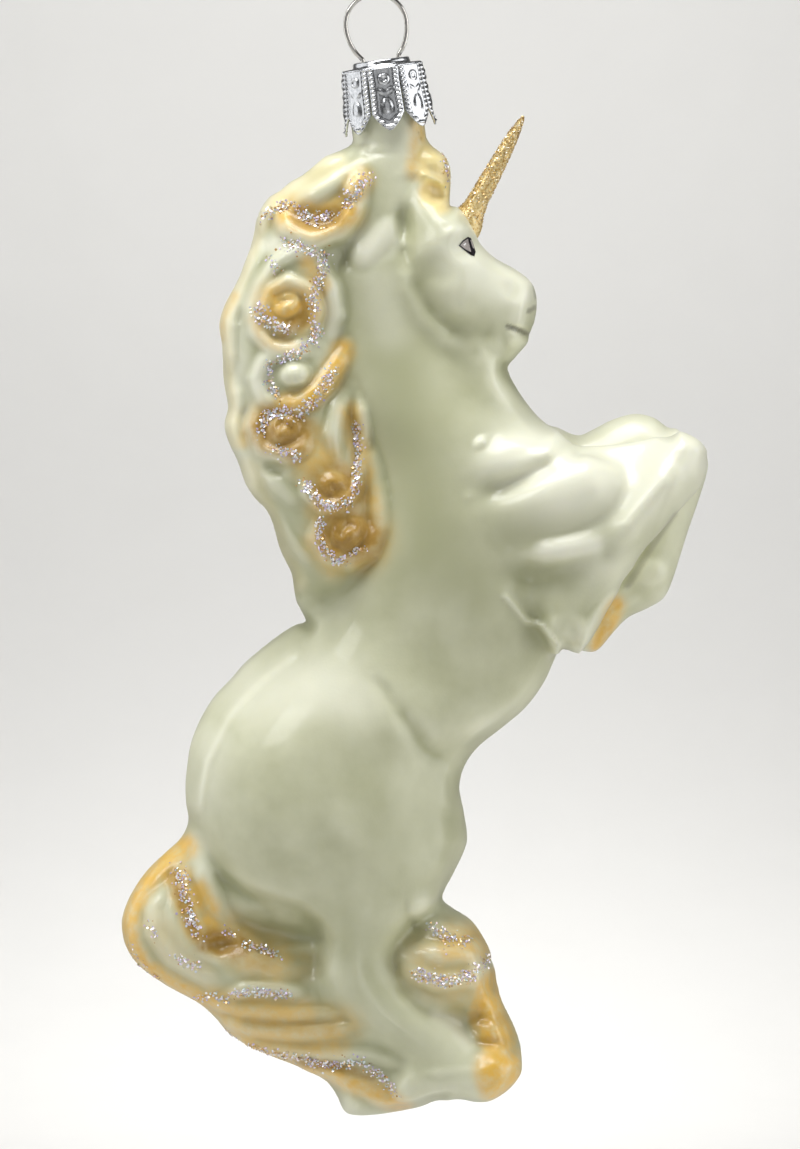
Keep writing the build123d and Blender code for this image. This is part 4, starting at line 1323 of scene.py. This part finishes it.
horn_flakes, horn_colours = [], []
for pick in random.integers(HORN_STEPS * BARE_ROWS, len(horn_net) - HORN_STEPS, HORN_FLAKES):
    vertex = gold_horn.data.vertices[int(pick)]
    size = random.uniform(*HORN_FLAKE_SIZE) * MM
    horn_flakes.append(flake(vertex.co, vertex.normal.copy(), size))
    horn_colours.append(linear(GOLD_FILM[random.integers(len(GOLD_FILM))]))
horn_glitter = flake_object("horn_glitter", horn_flakes, horn_colours)
horn_glitter.data.materials.append(film)
print("horn_glitter:", HORN_FLAKES, "flakes")

# %% Gold grains in glue
# Every grain has its own tone and gloss, so the rod sparkles in points, without one long streak.
gilt = start_material("gold_glitter_in_glue")
place = add(gilt, "ShaderNodeTexCoord").outputs["Object"]
grains = add(gilt, "ShaderNodeTexVoronoi", {"Vector": place, "Scale": 1 / (GRAIN_SIZE * MM)})
tone = add(gilt, "ShaderNodeSeparateColor", {"Color": grains.outputs["Color"]}).outputs[0]
golds = {0: tone, 6: linear("D2AE66"), 7: linear("F6E4AE")}
shader = add(gilt, "ShaderNodeBsdfPrincipled", {
    "Base Color": add(gilt, "ShaderNodeMix", golds, data_type="RGBA").outputs[2], "Metallic": 0.3,
    "Roughness": add(gilt, "ShaderNodeMapRange", {0: tone, 3: 0.25, 4: 0.5}).outputs[0],
})
add(gilt, "ShaderNodeOutputMaterial", {"Surface": shader.outputs[0]})
gold_horn.data.materials.append(gilt)
print("gilt has", len(gilt.node_tree.nodes), "nodes")

# %% [markdown]
# ## Painted eye
# The eye is brushed on: a black line round a grey-brown almond, a white dot in it and a pale
# gleam on the line. Paint is thin but has a sharp edge, so each colour is a small patch laid on
# the glass, a few hundredths of a millimetre above the one below.

# %% Patches of paint, in photo pixels
EYE_LINE = [(458, 245.5), (462, 240.5), (467, 237), (470, 238), (472.5, 244), (475, 252),
            (473.5, 256.5), (470, 255), (464, 250.5)]
EYE_IRIS = [(459.3, 245.4), (462.9, 241.2), (466.8, 238.7), (468, 245), (470.2, 252.6),
            (465.2, 250)]
EYE_GLINT = [(461.8, 245.2), (464, 242.8), (465, 244), (463.5, 246)]
EYE_GLEAM = [(468.8, 240.3), (470.2, 240.3), (473, 248.8), (471.8, 249.2)]
PATCH_CUTS = 3
STREAK_MM = 0.4

# The hairs of the brush leave faint streaks in the enamel, so even the black has a little life.
black_enamel, iris_enamel, white_enamel = (
    two_tone(f"brushed_{name}_enamel", STREAK_MM, 3.0, (0.3, 0.7), tones, {"Roughness": 0.3})
    for name, tones in (("black", ("100D10", "262025")), ("grey_brown", ("8F8885", "B9B1AC")),
                        ("white", ("E9E6E6", "FFFFFF"))))


def paint_patch(name, outline, lift, colour, side):
    """A patch of paint that follows the glass as a film."""
    build = bmesh.new()
    build.faces.new([build.verts.new((x, 0, z)) for x, z in from_photo(outline)])
    bmesh.ops.triangulate(build, faces=build.faces[:])
    bmesh.ops.subdivide_edges(build, edges=build.edges[:], cuts=PATCH_CUTS, use_grid_fill=True)
    for vert in build.verts:
        place, normal = on_glass(vert.co.x, vert.co.z, side)
        vert.co = place + normal * lift * MM
    made = built_object(name, build)
    made.data.materials.append(colour)
    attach(made, "figure")


eye_patches = [  # name, outline, lift above the glass in mm, and paint
    ("eye_line_", EYE_LINE, 0.06, black_enamel), ("eye_iris_", EYE_IRIS, 0.11, iris_enamel),
    ("eye_glint_", EYE_GLINT, 0.16, white_enamel), ("eye_gleam_", EYE_GLEAM, 0.16, iris_enamel),
]
for side, flank_name in ((-1, "right"), (1, "left")):
    for name, outline, lift, colour in eye_patches:
        paint_patch(name + flank_name, outline, lift, colour, side)
print("black enamel has", len(black_enamel.node_tree.nodes), "nodes")

# %% [markdown]
# ## Stage, light and camera
# A pale sweep stands in for the plain studio background, far enough back to walk round the
# figure. Light comes from large soft sources above and at both sides, a smaller window at the
# upper left and weak ones in front, which leaves the middle of the glass a little darker than
# its rims. Two lights with a narrowed spread make the paper paler at the top and at the foot, as
# in the photograph.

# %% Pale sweep, in metres
FLOOR_DROP = 0.18
SWEEP_HALF_WIDTH = 2.2
SWEEP_BACK = 2.7
SWEEP_RADIUS = 0.7
SWEEP_FRONT = -2.2
SWEEP_TOP = 2.0
SWEEP_STEPS = 24
FIBRE_MM = 25

floor_z = cad_box[0][2] - FLOOR_DROP
bend = [math.pi / 2 * step / SWEEP_STEPS for step in range(SWEEP_STEPS + 1)]
profile = [(SWEEP_FRONT, 0.0)]
profile += [(SWEEP_BACK - SWEEP_RADIUS * (1 - math.sin(turn)), SWEEP_RADIUS * (1 - math.cos(turn)))
            for turn in bend]
profile += [(SWEEP_BACK, SWEEP_TOP)]
sweep_points = np.array([(side * SWEEP_HALF_WIDTH, y, floor_z + z)
                         for y, z in profile for side in (-1, 1)])
sweep_faces = [(2 * i, 2 * i + 1, 2 * i + 3, 2 * i + 2) for i in range(len(profile) - 1)]
sweep = mesh_object("pale_sweep", sweep_points / MM, sweep_faces, at=np.zeros(3))
# Matt fibres scatter the light evenly, so the paper shows the light and no gloss of its own.
paper = two_tone("matt_background_paper", FIBRE_MM, 3.0, (0.0, 1.0), ("E1E0DD", "E4E3E0"),
                 {"Roughness": 0.9})
sweep.data.materials.append(paper)
print("floor at", round(floor_z, 4), "m")

# %% Soft lights: place, size in m, power in W, what it faces, and its spread in degrees
FIGURE_MIDDLE = Vector((0.0032, 0.0, -0.077))
LIGHTS = {
    "top": ((-0.1, -0.11, 0.62), 0.5, 5.6, FIGURE_MIDDLE, 180),
    "window": ((-0.55, -0.45, 0.45), 0.3, 1.6, FIGURE_MIDDLE, 180),
    "left": ((-0.8, 0.1, 0.0), 0.9, 2.6, FIGURE_MIDDLE, 180),
    "right": ((0.8, -0.15, 0.05), 0.9, 4.4, FIGURE_MIDDLE, 180),
    "front": ((0.0, -1.1, 0.05), 0.7, 0.55, FIGURE_MIDDLE, 180),
    "low": ((0.05, -0.5, -0.3), 0.2, 0.018, (0.0, 0.0, -0.19), 45),
    "background": ((0.0, 1.83, 0.9), 0.7, 2.0, (0.0, 2.62, 0.05), 60),
    "low_background": ((0.0, 1.9, 0.1), 0.5, 0.97, (0.0, 2.07, -0.33), 72),
}
WORLD_COLOUR = "F4F4F2"
WORLD_STRENGTH = 0.09


def aim(place, target):
    """The turn that points a light or a camera from one place at another."""
    return (Vector(target) - Vector(place)).to_track_quat("-Z", "Y").to_euler()


for name, (place, size, power, target, spread) in LIGHTS.items():
    softbox = bpy.data.lights.new(name, "AREA")
    softbox.size = size
    softbox.energy = power
    softbox.spread = math.radians(spread)
    made = bpy.data.objects.new(name, softbox)
    made.location = place
    made.rotation_euler = aim(place, target)
    bpy.context.scene.collection.objects.link(made)
world = bpy.data.worlds.new("studio")
bpy.context.scene.world = world
world.use_nodes = True
sky = world.node_tree.nodes["Background"]
sky.inputs["Color"].default_value = linear(WORLD_COLOUR)
sky.inputs["Strength"].default_value = WORLD_STRENGTH
print(len(bpy.data.lights), "soft lights")

# %% Camera
CAMERA_DISTANCE = 1.5  # m
CAMERA_TILT = math.radians(2.0)
SENSOR_HEIGHT = 36.0  # mm
PHOTO_HEIGHT = 1149  # pixels

camera = bpy.data.objects.new("camera", bpy.data.cameras.new("camera"))
camera.data.sensor_fit = "VERTICAL"
camera.data.sensor_height = SENSOR_HEIGHT
camera.data.lens = SENSOR_HEIGHT * CAMERA_DISTANCE / (PHOTO_HEIGHT / PIXELS_PER_MM * MM)
towards_camera = Vector((0, -math.cos(CAMERA_TILT), math.sin(CAMERA_TILT)))
camera.location = FIGURE_MIDDLE + CAMERA_DISTANCE * towards_camera
camera.rotation_euler = aim(camera.location, FIGURE_MIDDLE)
bpy.context.scene.collection.objects.link(camera)
bpy.context.scene.camera = camera
bpy.context.scene.view_settings.view_transform = "Standard"
print("lens", round(camera.data.lens, 1), "mm")
